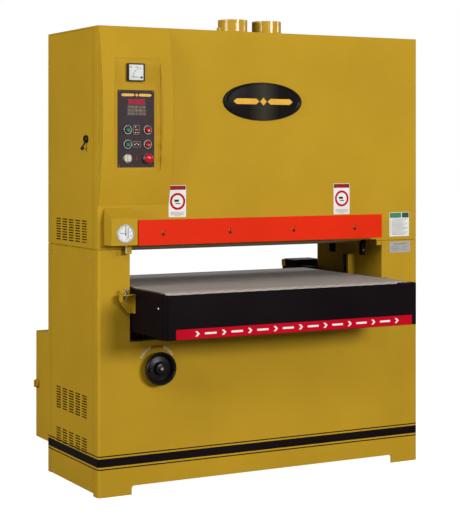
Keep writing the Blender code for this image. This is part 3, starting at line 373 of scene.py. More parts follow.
def between(tree, factor, low, high):
    """A number that runs from low to high as the factor runs over a noise's usual spread."""
    ramp = add_node(tree, "MapRange", {"From Min": 0.3, "From Max": 0.7, "To Min": low, "To Max": high})
    tree.links.new(factor, ramp.inputs["Value"])
    return ramp.outputs["Result"]


def blend(tree, factor, first, second):
    """A colour between two others."""
    mix = add_node(tree, "Mix", data_type="RGBA")
    mix.inputs["A"].default_value = (*first, 1.0)
    mix.inputs["B"].default_value = (*second, 1.0)
    tree.links.new(between(tree, factor, 0.0, 1.0), mix.inputs["Factor"])
    return mix.outputs["Result"]


def product(tree, first, second):
    """One colour times another."""
    mix = add_node(tree, "Mix", data_type="RGBA", blend_type="MULTIPLY")
    mix.inputs["Factor"].default_value = 1.0
    tree.links.new(first, mix.inputs["A"])
    tree.links.new(second, mix.inputs["B"])
    return mix.outputs["Result"]


def bump(tree, shader, factor, height, under=None):
    """Relief of this height in metres, on top of another bump's if one is given."""
    relief = add_node(tree, "Bump", {"Distance": height, "Strength": 1.0})
    tree.links.new(factor, relief.inputs["Height"])
    if under is not None:
        tree.links.new(under, relief.inputs["Normal"])
    tree.links.new(relief.outputs["Normal"], shader.inputs["Normal"])
    return relief.outputs["Normal"]


def shaded(colour, share):
    return tuple(min(channel * share, 1.0) for channel in colour)


def vary(tree, shader, colour, marks, dark, light, uneven, gloss_low, gloss_high):
    """Uneven tint from one noise and uneven gloss from another."""
    tint = blend(tree, marks, shaded(colour, dark), shaded(colour, light))
    tree.links.new(tint, shader.inputs["Base Color"])
    gloss = between(tree, uneven, gloss_low, gloss_high)
    tree.links.new(gloss, shader.inputs["Roughness"])


def enamel(
    name, colour, roughness, peel=0.00002, wave=0.0006, coat=0.0, spread=0.06, scuff=0.1, specular=0.3,
    coat_roughness=0.2
):
    """Sprayed or powder-coated sheet: orange peel, a slight wave in the sheet, and uneven gloss."""
    material, tree, shader = surface(name, colour, roughness)
    marks, uneven = noise(tree, 2.6, 5.0), noise(tree, 7.0, 6.0)
    vary(
        tree, shader, colour, marks, 1 - spread, 1 + spread, uneven, roughness - scuff / 2,
        roughness + scuff / 2
    )
    sheet = bump(tree, shader, noise(tree, 3.2, 1.0), wave)
    bump(tree, shader, noise(tree, 650.0, 2.0), peel, sheet)
    shader.inputs["Coat Weight"].default_value = coat
    shader.inputs["Coat Roughness"].default_value = coat_roughness
    shader.inputs["Specular IOR Level"].default_value = specular
    return material


def moulded(name, colour, roughness=0.35, grain=0.00003, spread=0.08, coat=0.0, specular=0.15):
    """Moulded plastic: fine grain and faint marks."""
    material, tree, shader = surface(name, colour, roughness)
    marks, uneven = noise(tree, 60.0, 4.0), noise(tree, 90.0, 4.0)
    vary(tree, shader, colour, marks, 1 - spread, 1 + spread, uneven, roughness - 0.06, roughness + 0.08)
    bump(tree, shader, noise(tree, 1400.0, 2.0), grain)
    shader.inputs["Coat Weight"].default_value = coat
    shader.inputs["Coat Roughness"].default_value = 0.06
    shader.inputs["Specular IOR Level"].default_value = specular
    return material


def machined(name, colour, roughness, stretch=(1.0, 40.0, 40.0), lines=0.00002, metallic=1.0):
    """Bare metal with fine tool marks along one direction."""
    material, tree, shader = surface(name, colour, roughness, metallic)
    marks, uneven = noise(tree, 60.0, 3.0, stretch), noise(tree, 25.0, 5.0)
    vary(tree, shader, colour, marks, 0.86, 1.08, uneven, roughness - 0.08, roughness + 0.1)
    bump(tree, shader, marks, lines)
    return material


def plated(name, colour=(0.72, 0.72, 0.74), roughness=0.12, metallic=1.0):
    """Plating: bright, with slightly uneven gloss."""
    material, tree, shader = surface(name, colour, roughness, metallic)
    gloss = between(tree, noise(tree, 120.0, 5.0), roughness, roughness + 0.1)
    tree.links.new(gloss, shader.inputs["Roughness"])
    bump(tree, shader, noise(tree, 300.0, 2.0), 0.000008)
    return material


def crossed_ribs(tree, scale):
    """Two sets of fine ribs that cross on the belt's face."""
    both = add_node(tree, "Mix", {"Factor": 0.5})
    for socket, sideways in (("A", 1.0), ("B", -1.0)):
        ribs = add_node(tree, "TexWave", {"Scale": scale}, bands_direction="DIAGONAL")
        tree.links.new(mapped(tree, {"Scale": (0.45 * sideways, 1.0, 0.0)}), ribs.inputs["Vector"])
        tree.links.new(ribs.outputs["Fac"], both.inputs[socket])
    return both.outputs["Result"]


def conveyor_rubber():
    """Rough-top rubber: small close nubs and crossed ribs over broader rubbed patches."""
    near, far = (0.468, 0.432, 0.395), (0.35, 0.318, 0.29)
    material, tree, shader = surface("feed_rubber", near, 0.75)
    tint = blend(tree, noise(tree, 420.0, 2.0), far, near)
    rubbed = blend(tree, noise(tree, 5.0, 4.0, (0.6, 3.0, 1.0)), (0.94, 0.94, 0.94), (1.03, 1.025, 1.02))
    woven = blend(tree, crossed_ribs(tree, 24.0), (0.8, 0.8, 0.8), (1.08, 1.08, 1.08))
    tree.links.new(product(tree, product(tree, tint, rubbed), woven), shader.inputs["Base Color"])
    cells = add_node(tree, "TexVoronoi", {"Scale": 260.0})
    tree.links.new(mapped(tree, {}), cells.inputs["Vector"])
    bump(tree, shader, cells.outputs["Distance"], 0.0006)
    shader.inputs["Specular IOR Level"].default_value = 0.05
    return material


def grit():
    """Sanding cloth: sharp grains on a red-brown backing."""
    brown, pale = (0.22, 0.075, 0.035), (0.42, 0.19, 0.11)
    material, tree, shader = surface("abrasive_grit", brown, 0.9)
    tree.links.new(blend(tree, noise(tree, 900.0, 2.0), brown, pale), shader.inputs["Base Color"])
    bump(tree, shader, noise(tree, 1500.0, 2.0), 0.0002)
    return material


def glowing_display():
    """A red display window, a little lit from inside."""
    material, tree, shader = surface("display_red", (0.26, 0.01, 0.026), 0.35)
    rows = blend(tree, noise(tree, 160.0, 2.0), (0.22, 0.009, 0.022), (0.31, 0.014, 0.034))
    tree.links.new(rows, shader.inputs["Base Color"])
    tree.links.new(rows, shader.inputs["Emission Color"])
    shader.inputs["Emission Strength"].default_value = 0.06
    shader.inputs["Specular IOR Level"].default_value = 0.03
    return material


def painted_sheen_badge():
    """Dark enamel with a painted sheen: a lighter diagonal band across the oval's middle, a reflection
    painted into the colour.
    """
    material = enamel("badge_enamel_painted_sheen", INK, 0.22, peel=0.00001, wave=0.0001, spread=0.2, specular=0.05)
    tree = material.node_tree
    lean, painted_sheen_width = math.radians(-14.0), 0.075
    centred = mapped(tree, {"Location": (-(BADGE_X + 0.005), 0.0, -BADGE_Z)})
    across = mapped(tree, {"Rotation": (0.0, lean, 0.0), "Scale": (1.0 / painted_sheen_width, 0.0, 0.0)}, centred)
    sphere = add_node(tree, "TexGradient", gradient_type="SPHERICAL")
    tree.links.new(across, sphere.inputs["Vector"])
    # The colour runs from the enamel's dark to the painted sheen's lighter grey along the band.
    mix = add_node(tree, "Mix", data_type="RGBA")
    mix.inputs["A"].default_value = (0.0075, 0.006, 0.0055, 1.0)
    mix.inputs["B"].default_value = (0.036, 0.032, 0.023, 1.0)
    tree.links.new(sphere.outputs["Fac"], mix.inputs["Factor"])
    tree.links.new(mix.outputs["Result"], tree.nodes["Principled BSDF"].inputs["Base Color"])
    return material


YELLOW = (0.402, 0.24, 0.015)
INK = (0.01, 0.009, 0.01)

yellow = enamel("yellow_powder_coat", YELLOW, 0.55, specular=0.03)
yellow_gloss = enamel("yellow_gloss", YELLOW, 0.4, wave=0.0001, coat=0.35, specular=0.1, coat_roughness=0.05)
# A lighter copy of the yellow: the hinge knuckles' highlight painted into the colour.
yellow_painted_highlight = enamel("yellow_painted_highlight", shaded(YELLOW, 1.3), 0.45, specular=0.1)
black = enamel("black_enamel", (0.0052, 0.003, 0.004), 0.42, wave=0.0003, spread=0.25, specular=0.03)
soft_black = enamel(
    "satin_black", (0.006, 0.0045, 0.0045), 0.26, peel=0.00001, wave=0.0001, spread=0.2, specular=0.4
)
gloss_black = enamel(
    "gloss_black", (0.006, 0.005, 0.006), 0.16, peel=0.00001, wave=0.0001, coat=0.6, spread=0.2
)
guard_red = enamel("guard_red", (0.6, 0.02, 0.004), 0.42, wave=0.0003, specular=0.03)
strip_red = enamel("strip_red", (0.42, 0.002, 0.012), 0.36, wave=0.0002, specular=0.03)
stripe_black = enamel("stripe_film", (0.006, 0.0038, 0.0045), 0.36, wave=0.0002, spread=0.2, specular=0.04)
panel_dark = moulded("panel_film", (0.04, 0.028, 0.033), 0.42, specular=0.03)
panel_edge = moulded("panel_edge_film", (0.016, 0.012, 0.018), 0.35)
bezel_silver = machined("bezel_silver", (0.27, 0.26, 0.24), 0.45, (1.0, 1.0, 1.0), metallic=0.75)
cap_green = moulded("cap_green", (0.018, 0.105, 0.048), 0.45, coat=0.05)
cap_red = moulded("cap_red", (0.4, 0.004, 0.012), 0.3, coat=0.35)
cream = moulded("cream_plastic", (0.52, 0.47, 0.36), 0.4, coat=0.05)
key_grey = moulded("key_outline", (0.21, 0.19, 0.18), 0.45, specular=0.05)
key_gold_bright = moulded("badge_gold", (0.62, 0.33, 0.025), 0.35)
key_gold = moulded("key_mark_gold", (0.5, 0.3, 0.03), 0.4)
pale_print = moulded("pale_print", (0.56, 0.52, 0.42), 0.45)
sign_red = moulded("sign_red", (0.4, 0.003, 0.012), 0.45, specular=0.03)
key_red = moulded("key_red", (0.17, 0.012, 0.016), 0.4)
white_print = moulded("white_print", (0.66, 0.655, 0.64), 0.42, spread=0.03, specular=0.1)
paper_white = moulded("paper_white", (0.6, 0.6, 0.59), 0.5, spread=0.03, specular=0.05)
meter_black = moulded("meter_black", (0.022, 0.018, 0.02), 0.45, specular=0.1)
grey_print = moulded("grey_print", (0.24, 0.22, 0.21), 0.45)
green_print = moulded("green_print", (0.045, 0.19, 0.09), 0.45)
ink = moulded("ink", INK, 0.4)
data_plate_metal = machined("data_plate_metal", (0.37, 0.355, 0.33), 0.42, (1.0, 1.0, 30.0), metallic=0.35)
zinc = plated("zinc_plate", (0.56, 0.55, 0.52), 0.28, 0.6)
chrome = plated("chrome_plate")
brass = plated("brass_point", (0.72, 0.58, 0.3), 0.25)
wheel_black = enamel(
    "wheel_black", (0.0075, 0.006, 0.006), 0.34, peel=0.00001, wave=0.0, spread=0.2, specular=0.16
)
steel = machined("ground_steel", (0.42, 0.41, 0.4), 0.34)
dark_steel = machined("blued_steel", (0.1, 0.095, 0.095), 0.38)
greased_steel = machined("greased_steel", (0.035, 0.03, 0.026), 0.45)
cast_grey = enamel("cast_grey", (0.085, 0.09, 0.098), 0.55, peel=0.0002, wave=0.0)
green_dark = moulded("green_dark", (0.02, 0.07, 0.04), 0.45)
contactor_plastic = moulded("contactor_plastic", (0.085, 0.09, 0.095), 0.42)
# The badge's enamel, with a painted sheen across its middle.
badge_enamel_painted_sheen = painted_sheen_badge()
feed_rubber = conveyor_rubber()
soft_rubber = moulded("black_rubber", (0.014, 0.014, 0.014), 0.65, 0.00008)
abrasive = grit()
display_red = glowing_display()


# ---------------------------------------------------------------- cabinet


def cabinet_plan(inset=0.0):
    bend = FOLD - inset
    left = arc((FOLD, FOLD), bend, 180.0, 270.0, 12)
    right = arc((WIDTH - FOLD, FOLD), bend, 270.0, 360.0, 12)
    return left + right + [(WIDTH - inset, DEPTH - inset), (inset, DEPTH - inset)]


def base_and_columns():
    shell = slab([cabinet_plan()], 0.0, SEAM, "flat")
    inner_front, inner_back = WALL, DEPTH - WALL
    foot = [(FOOT_LEFT, -0.01)] + arc(
        (FOOT_LEFT + FOOT_BEND, FOOT_TOP - FOOT_BEND), FOOT_BEND, 180.0, 90.0, 8
    )
    foot += arc(
        (FOOT_RIGHT - FOOT_BEND, FOOT_TOP - FOOT_BEND), FOOT_BEND, 90.0, 0.0, 8
    ) + [(FOOT_RIGHT, -0.01)]
    shell = carved(
        shell,
        box((THROAT_LEFT, -0.1, THROAT_FLOOR), (THROAT_RIGHT, 0.7, 1.2)),
        box((WALL, inner_front, -0.1), (WIDTH - WALL, inner_back, THROAT_FLOOR - WALL)),
        box((0.19, 0.056, 0.55), (1.35, 0.494, 0.7)),
        box((WALL, inner_front, 0.6), (THROAT_LEFT - WALL, inner_back, 1.2)),
        box((THROAT_RIGHT + WALL, inner_front, 0.6), (WIDTH - WALL, inner_back, 1.2)),
        box((-0.1, SIDE_FRONT, -0.1), (SKIN + HAIR, SIDE_BACK, 1.2)),
        box((-0.1, SIDE_FRONT + 0.03, 0.06), (0.03, SIDE_BACK - 0.03, SEAM - 0.05)),
        box((-0.1, SIDE_FRONT, -0.1), (0.03, DEPTH + 0.1, 0.01)),
        slab([foot], -0.1, DEPTH + 0.1, "front"),
        rod(0.013, -0.03, 0.03, (WHEEL_X, 0.0, WHEEL_Z), "back", 24),
    )
    piece("base_and_columns", shell, yellow, replaces=["lower_housing"], edge=0.0012)
    rail = box((1.376, 0.002, 0.997), (THROAT_RIGHT + 0.002, 0.548, SEAM))
    piece("inner_rail", rail, yellow, edge=0.0012)


def head_shell():
    low = SEAM + 0.0016
    shell = carved(
        slab([cabinet_plan()], low, HEIGHT, "flat"),
        box((WALL, WALL, 0.9), (WIDTH - WALL, DEPTH - WALL, HEIGHT - WALL)),
        box((-0.1, SIDE_FRONT, 0.9), (SKIN + HAIR, SIDE_BACK, HEIGHT - 0.006)),
        box((-0.1, SIDE_FRONT + 0.01, SEAM + 0.012), (0.03, SIDE_BACK - 0.01, HEIGHT - 0.02)),
        panel_window(0.03),
        box((THROAT_LEFT + 0.004, -0.1, 0.9), (THROAT_RIGHT - 0.03, WALL + 0.01, 1.024)),
        *[rod(0.062, 1.9, 2.0, (x, PORT_Y, 0.0)) for x in PORT_XS],
    )
    piece("head_shell", shell, yellow, replaces=["upper_housing"], edge=0.002, steps=3)


def louvre_slots(first_zs):
    cutter = bmesh.new()
    for first_z in first_zs:
        for number in range(LOUVRE_COLUMNS * LOUVRE_ROWS):
            y = LOUVRE_FIRST_Y + (number // LOUVRE_ROWS) * LOUVRE_COLUMN_PITCH
            z = first_z - (number % LOUVRE_ROWS) * LOUVRE_ROW_PITCH
            low, high = (-0.01, y, z - LOUVRE_HEIGHT / 2), (0.01, y + LOUVRE_WIDTH, z + LOUVRE_HEIGHT / 2)
            add_box(cutter, low, high)
    return cutter


def side_cover():
    sheet = slab(
        [rectangle(SIDE_FRONT + 0.0025, 0.013, SIDE_BACK - 0.0025, SEAM - 0.0035)], 0.0, SKIN, "side"
    )
    sheet = carved(sheet, louvre_slots((0.399, 0.221)))
    piece("side_cover", sheet, yellow, replaces=["lower_side_cover"], edge=0.0009)
    for number, (y, z) in enumerate(((0.093, 0.025), (0.492, 0.025), (0.093, 0.983), (0.492, 0.983)), 1):
        profile = [(0.0, 0.0022), (0.0025, 0.002), (0.0046, 0.0012), (0.005, 0.0), (0.005, -0.001)]
        head = add_turned(bmesh.new(), [(r, -h) for r, h in profile], (0.0, y, z), "right", 20)
        head = carved(head, box((-0.01, y - 0.0006, z - 0.003), (-0.0012, y + 0.0006, z + 0.003)))
        piece("cover_screw_%d" % number, head, zinc)


def belt_door():
    low, high = SEAM + 0.0045, HEIGHT - 0.0085
    front, back = SIDE_FRONT + 0.0025, SIDE_BACK - 0.0025
    sheet = slab(
        [rectangle(front, low, back, high), circle((LATCH_Y, LATCH_Z), 0.0065, 24)], 0.0, SKIN, "side"
    )
    sheet = carved(sheet, louvre_slots((1.131,)))
    rim_front, rim_back, rim_low, rim_high = SIDE_FRONT + 0.016, SIDE_BACK - 0.016, low + 0.013, high - 0.018
    outer = rectangle(rim_front, rim_low, rim_back, rim_high)
    inner = rectangle(rim_front + SKIN, rim_low + SKIN, rim_back - SKIN, rim_high - SKIN)
    rim = slab([outer, inner], 0.002, 0.018, "side")
    made = joined(sheet, rim)
    piece("belt_door_pan", made, yellow, "belt_door", ["belt_door"], edge=0.0009)


def door_latch():
    profile = [(0.006, 0.0125), (0.0135, 0.0115), (0.0165, 0.009), (0.017, 0.006), (0.017, 0.0)]
    disc = turned([(r, -h - HAIR) for r, h in profile + [(0.0, 0.0)]], (0.0, LATCH_Y, LATCH_Z), "right", 40)
    path = [(-0.006, LATCH_Y, LATCH_Z), (-0.0095, LATCH_Y + 0.0004, LATCH_Z - 0.01)]
    path += [(-0.0115, LATCH_Y + 0.001, LATCH_Z - 0.018), (-0.0145, LATCH_Y + 0.0022, LATCH_Z - 0.026)]
    path += [(-0.0175, LATCH_Y + 0.0032, LATCH_Z - 0.032), (-0.0195, LATCH_Y + 0.004, LATCH_Z - 0.037)]
    add_tube(disc, path, 0.0036, 14)
    ball = bmesh.ops.create_uvsphere(disc, u_segments=20, v_segments=14, radius=0.0083)["verts"]
    bmesh.ops.translate(disc, vec=(-0.0193, LATCH_Y + 0.004, LATCH_Z - 0.038), verts=ball)
    spindle = [(0.006, -0.004), (0.006, 0.026)]
    add_turned(disc, spindle, (0.0, LATCH_Y, LATCH_Z), "right", 20)
    add_box(disc, (0.0225, LATCH_Y - 0.0685, LATCH_Z - 0.009), (0.026, LATCH_Y + 0.012, LATCH_Z + 0.009))
    piece("latch_handle", disc, soft_black, "door_latch", ["door_latch"], edge=0.0004, sharp=40)


def dust_ports():
    wall, low = 0.002, HEIGHT + HAIR
    for side, x in zip(("left", "right"), PORT_XS):
        profile = [
            (PORT_RADIUS - wall, PORT_TOP - 0.0005), (PORT_RADIUS - 0.001, PORT_TOP),
            (PORT_RADIUS, PORT_TOP - 0.001),
            (PORT_RADIUS, low + 0.006), (PORT_RADIUS + 0.0012, low + 0.0038),
            (PORT_RADIUS + 0.0075, low + 0.0034),
            (PORT_RADIUS + 0.008, low + 0.0028), (PORT_RADIUS + 0.008, low), (PORT_RADIUS - wall, low),
        ]
        tube = closed_ring(profile, (x, PORT_Y, 0.0), "up", 72)
        piece("dust_spigot_" + side, tube, yellow_gloss, replaces=["dust_port_" + side])
        screws = bmesh.new()
        for number in range(6):
            turn = math.radians(30 + 60 * number)
            place = (x + 0.07 * math.cos(turn), PORT_Y + 0.07 * math.sin(turn), low + 0.003)
            add_turned(
                screws, [(0.0, 0.003), (0.002, 0.0027), (0.003, 0.0012), (0.003, 0.0)], place, "up", 14,
                capped=False
            )
        piece("spigot_rivets_" + side, screws, zinc)
    lug = box(
        (PORT_XS[0] - PORT_RADIUS - 0.01, PORT_Y - 0.01, low),
        (PORT_XS[0] - PORT_RADIUS + 0.002, PORT_Y + 0.01, low + 0.034)
    )
    piece("spigot_clamp_lug", lug, yellow_gloss, edge=0.001)


def oval_badge():
    """A slightly domed oval with a raised rim, two gold bars and a small diamond."""
    half_wide, ratio, back = BADGE_WIDTH / 2, BADGE_HEIGHT / BADGE_WIDTH, HAIR
    profile = [
        (0.0, 0.0082), (0.06, 0.008), (0.12, 0.007), (0.16, 0.0058), (0.176, 0.0052), (0.1795, 0.0056),
        (0.183, 0.0076), (0.187, 0.0086), (0.1905, 0.0084), (0.194, 0.007), (half_wide, 0.0045),
        (half_wide, 0.0),
    ]
    plate = turned([(r, h + back) for r, h in profile], (BADGE_X, 0.0, BADGE_Z), "front", 96, ratio)
    piece("badge_plate", plate, badge_enamel_painted_sheen, replaces=["oval_badge"], sharp=60)
    for name, left, right, half in (("left", -0.148, -0.02, 0.0125), ("right", 0.02, 0.148, 0.0125)):
        points = [(BADGE_X + left, BADGE_Z), (BADGE_X + left + 0.016, BADGE_Z - half)]
        points += [(BADGE_X + right - 0.016, BADGE_Z - half), (BADGE_X + right, BADGE_Z)]
        points += [(BADGE_X + right - 0.016, BADGE_Z + half), (BADGE_X + left + 0.016, BADGE_Z + half)]
        piece("badge_bar_" + name, slab([points], -0.0092, -0.0062), key_gold_bright, edge=0.0004)
    diamond = [(BADGE_X + dx, BADGE_Z + dz) for dx, dz in ((-0.017, 0), (0, -0.017), (0.017, 0), (0, 0.017))]
    piece("badge_diamond", slab([diamond], -0.0096, -0.007), key_gold_bright, edge=0.0004)


def base_stripes():
    """Three bands of black film round the base's front and left side."""
    for name, low, high in (
        ("wide", BAND_LOW, BAND_HIGH),
        ("upper", LINE_HIGH - 0.0024, LINE_HIGH + 0.0024),
        ("lower", LINE_LOW - 0.0024, LINE_LOW + 0.0024),
    ):
        proud = 0.0003
        outside = [(-proud, DEPTH)] + arc((FOLD, FOLD), FOLD + proud, 180.0, 270.0, 12)
        outside += arc((WIDTH - FOLD, FOLD), FOLD + proud, 270.0, 345.0, 10)
        inside = [(-0.00005, DEPTH)] + arc((FOLD, FOLD), FOLD + 0.00005, 180.0, 270.0, 12)
        inside += arc((WIDTH - FOLD, FOLD), FOLD + 0.00005, 270.0, 345.0, 10)
        piece("stripe_" + name, slab([outside + inside[::-1]], low, high, "flat"), stripe_black)


# ---------------------------------------------------------------- controls


def lens(left, right, inset, back):
    """The fairing's bulged outline from the side, flush with the wall at its top and bottom."""
    low, high, depth = FAIRING_FLOOR + inset, HEIGHT - inset, BULGE - 0.0005 - inset
    half = (high - low) / 2
    radius = (half * half + depth * depth) / (2 * depth)
    swing = math.degrees(math.asin(half / radius))
    front = arc((radius - depth, (high + low) / 2), radius, 180.0 - swing, 180.0 + swing, 48)
    outline = front + [(back, low), (back, high)]
    return slab([[(y - 0.0005, z) for y, z in outline]], left, right, "side")


def panel_window(back):
    return box((0.092, -0.1, 1.372), (0.236, back, 1.662))


def recess_space():
    """The recess, with upright sides that lean outward toward the front."""
    lean = (PANEL_Y + 0.1) * RECESS_DRAFT
    outline = [
        (RECESS_LEFT - lean, -0.1), (RECESS_RIGHT + lean, -0.1), (RECESS_RIGHT, PANEL_Y),
        (RECESS_LEFT, PANEL_Y)
    ]
    return slab([outline], RECESS_FLOOR, RECESS_TOP, "flat")


def control_fairing():
    cover = lens(FAIRING_LEFT, FAIRING_RIGHT, 0.0, 0.0)
    cover = carved(cover, lens(FAIRING_LEFT + SKIN, FAIRING_RIGHT - SKIN, SKIN, 0.01))
    trim_low = (RECESS_LEFT - 0.1, -0.1, RECESS_FLOOR - SKIN)
    trim_high = (RECESS_RIGHT + 0.1, 0.1, RECESS_TOP + SKIN)
    frame_part = lens(RECESS_LEFT - RECESS_WALL, RECESS_RIGHT + RECESS_WALL, 0.0, 0.0)
    frame_part = carved(frame_part, box(trim_low, trim_high), operation="INTERSECT")
    cover = carved(cover, frame_part, operation="UNION")
    cover = carved(
        cover,
        recess_space(),
        box((RECESS_LEFT, PANEL_Y + SKIN, RECESS_FLOOR), (RECESS_RIGHT, 0.1, RECESS_TOP)),
        panel_window(0.1),
    )
    piece("fairing", cover, yellow, replaces=["control_fairing"], edge=0.0013, sharp=30)
    hinge = bmesh.new()
    knuckle, low, x, y = 0.0246, RECESS_FLOOR + 0.004, RECESS_RIGHT - 0.003, PANEL_Y - 0.0024
    for number in range(18):
        profile = [(0.0018, knuckle - 0.0012), (0.0022, knuckle - 0.0018)]
        profile += [(0.0022, 0.0006), (0.0018, 0.0)]
        add_turned(hinge, profile, (x, y, low + number * knuckle), "up", 12)
    # The hinge wears the lighter yellow, a painted highlight.
    piece("recess_hinge", hinge, yellow_painted_highlight)
    low_corner = (RECESS_RIGHT - 0.015, PANEL_Y - 0.001, low)
    leaf = box(low_corner, (RECESS_RIGHT - 0.003, PANEL_Y - HAIR, low + 18 * knuckle))
    piece("recess_hinge_leaf", leaf, yellow, edge=0.0003)


BEZELS = [(x, z) for x in (START_X, STOP_X) for z in (DRUM_ROW, FEED_ROW, SWITCH_ROW)]


def control_plate():
    left, right, low, high = PANEL_X - PANEL_WIDTH / 2, PANEL_X + PANEL_WIDTH / 2, PANEL_FLOOR, PANEL_TOP
    holes = [circle(place, 0.0111, 32) for place in BEZELS]
    face = slab([rounded(left, low, right, high, 0.004)] + holes, PANEL_Y - 0.0033, PANEL_Y - HAIR)
    piece("control_face", face, panel_dark, replaces=["control_plate"], edge=0.0004)
    bezels, collars = bmesh.new(), bmesh.new()
    for x, z in BEZELS:
        profile = [(0.016, 0.0033), (0.016, 0.0098), (0.0165, 0.0106), (0.0176, 0.0106), (0.0187, 0.0092)]
        profile += [(0.019, 0.0076), (0.019, 0.0033), (0.016, 0.0033)]
        add_turned(bezels, profile, (x, PANEL_Y, z), "front", 40, capped=False)
        profile = [(0.0112, 0.0033), (0.0112, 0.006), (0.0159, 0.0056), (0.0159, 0.0033), (0.0112, 0.0033)]
        add_turned(collars, profile, (x, PANEL_Y, z), "front", 40, capped=False)
    for rim in (bezels, collars):
        bmesh.ops.remove_doubles(rim, verts=rim.verts, dist=1e-7)
    piece("button_bezels", bezels, bezel_silver)
    piece("button_collars", collars, ink)


PRINT_X, PRINT_Y = PANEL_X + 0.0018, PANEL_Y - 0.0033


def display():
    window = rounded(PRINT_X - 0.037, 1.617, PRINT_X + 0.037, 1.638, 0.001)
    frame_print = slab(
        [rounded(PRINT_X - 0.04, 1.615, PRINT_X + 0.04, 1.64, 0.003), window], PRINT_Y - 0.0012, PRINT_Y
    )
    piece("display_frame", frame_print, panel_edge, edge=0.0003)
    printed("display_window", [window], PRINT_Y, 0.0008, display_red)


def keys():
    """Three rows of outlined keys with a mark in each. The last is a plain red one."""
    marks, outlines = [], []
    half_wide, half_high, line, pitch_x, pitch_z = 0.007, 0.00525, 0.0014, 0.0168, 0.014
    for number in range(15):
        x = PRINT_X + (number % 5 - 2) * pitch_x
        z = 1.606 - (number // 5) * pitch_z
        inner = rounded_at(x, z, half_wide - line, half_high - line, 0.0014, 3)
        outlines += [rounded_at(x, z, half_wide, half_high, 0.002, 3), inner]
        marks.append(circle((x, z), 0.0022, 8) if number % 3 else rectangle_at(x, z, 0.0026, 0.0008))
    printed("key_outlines", outlines, PRINT_Y, 0.0004, key_grey)
    printed("key_marks", marks[:-1], PRINT_Y, 0.0004, key_gold)
    printed("key_reset", [inner], PRINT_Y, 0.0004, key_red)


def plate_bars():
    """Two pointed bars with a diamond between them, above the display."""
    low, middle, high = 1.65, 1.6555, 1.661
    bars = []
    for x in (PRINT_X - 0.0395, PRINT_X + 0.0385):
        bar = [(x - 0.0305, middle), (x - 0.0245, low), (x + 0.0245, low)]
        bars.append(bar + [(x + 0.0305, middle), (x + 0.0245, high), (x - 0.0245, high)])
    bars.append([(PRINT_X - 0.007, middle), (PRINT_X, 1.6485), (PRINT_X + 0.007, middle), (PRINT_X, 1.6625)])
    printed("plate_bar", bars, PRINT_Y, 0.0003, key_gold_bright)


def symbols():
    """Frames, dots and marks between the buttons, and the plate's corner screws."""
    frames = []
    for z, wide, high in ((DRUM_ROW, 0.029, 0.039), (FEED_ROW, 0.036, 0.025)):
        frames.append(rounded_at(PRINT_X, z, wide / 2, high / 2, 0.005))
        edge_x, edge_z = wide / 2 - 0.0016, high / 2 - 0.0016
        frames.append(rounded_at(PRINT_X, z, edge_x, edge_z, 0.0036))
    printed("symbol_frames", frames, PRINT_Y, 0.0004, key_grey)
    white = [
        circle((PRINT_X + dx, DRUM_ROW + dz), 0.0026, 12) for dx, dz in ((-0.005, 0.012), (-0.005, -0.012))
    ]
    white += [circle((PRINT_X + 0.006, DRUM_ROW - 0.011), 0.0024, 12)]
    white += [circle((PRINT_X + dx, FEED_ROW - 0.001), 0.0026, 12) for dx in (-0.008, 0.008)]
    printed("symbol_dots", white, PRINT_Y, 0.0004, pale_print)
    gold = [rectangle_at(PRINT_X, DRUM_ROW, 0.007, 0.0012)]
    gold.append(rectangle(PRINT_X - 0.0045, FEED_ROW + 0.003, PRINT_X + 0.0045, FEED_ROW + 0.005))
    printed("symbol_marks", gold, PRINT_Y, 0.0004, key_gold_bright)
    wedge = [(PRINT_X - 0.0022, SWITCH_ROW - 0.008), (PRINT_X + 0.0022, SWITCH_ROW - 0.008)]
    wedge += [(PRINT_X + 0.0012, SWITCH_ROW + 0.009), (PRINT_X - 0.0012, SWITCH_ROW + 0.009)]
    printed("switch_mark", [wedge], PRINT_Y, 0.0004, sign_red)
    dots = [circle((PANEL_X + side * 0.0765, z), 0.0018, 16) for side in (-1, 1) for z in (1.363, 1.67)]
    piece("plate_screws", slab(dots, PRINT_Y - 0.0009, PRINT_Y), dark_steel, edge=0.0003)


def push_buttons():
    for group, z in (("drum", DRUM_ROW), ("feed", FEED_ROW)):
        for kind, x, material in (("start", START_X, cap_green), ("stop", STOP_X, cap_red)):
            profile = [
                (0.006, 0.015), (0.008, 0.0155), (0.0088, 0.017), (0.0096, 0.0178), (0.0103, 0.0172),
                (0.0105, 0.016), (0.0105, 0.0045), (0.0075, 0.0045), (0.0075, -0.04),
            ]
            cap = turned(profile, (x, PANEL_Y, z), "front", 40)
            body = group + "_" + kind
            piece(body + "_cap", cap, material, body, [body + "_button"])
    profile = [
        (0.0, 0.034), (0.006, 0.0337), (0.011, 0.0326), (0.0155, 0.0302), (0.0182, 0.0275), (0.0195, 0.0248),
        (0.0193, 0.0232), (0.018, 0.0222), (0.0085, 0.0205), (0.0085, -0.04),
    ]
    cap = turned(profile, (STOP_X, PANEL_Y, SWITCH_ROW), "front", 48)
    piece("emergency_cap", cap, cap_red, "emergency_stop", ["emergency_stop_button"])
    x, z, half = START_X, SWITCH_ROW, 0.0135
    knob = slab([rounded_at(x, z, half, half, 0.006)], PANEL_Y - 0.014, PANEL_Y - 0.006)
    grip = slab([rounded_at(x, z, 0.003, 0.0115, 0.0026)], PANEL_Y - 0.0218, PANEL_Y - 0.012)
    stem = rod(0.01, 0.007, -0.04, (x, PANEL_Y, z), "front", 32)
    piece("selector_knob", joined(knob, grip, stem), cream, "selector", ["selector_switch"], edge=0.0012)


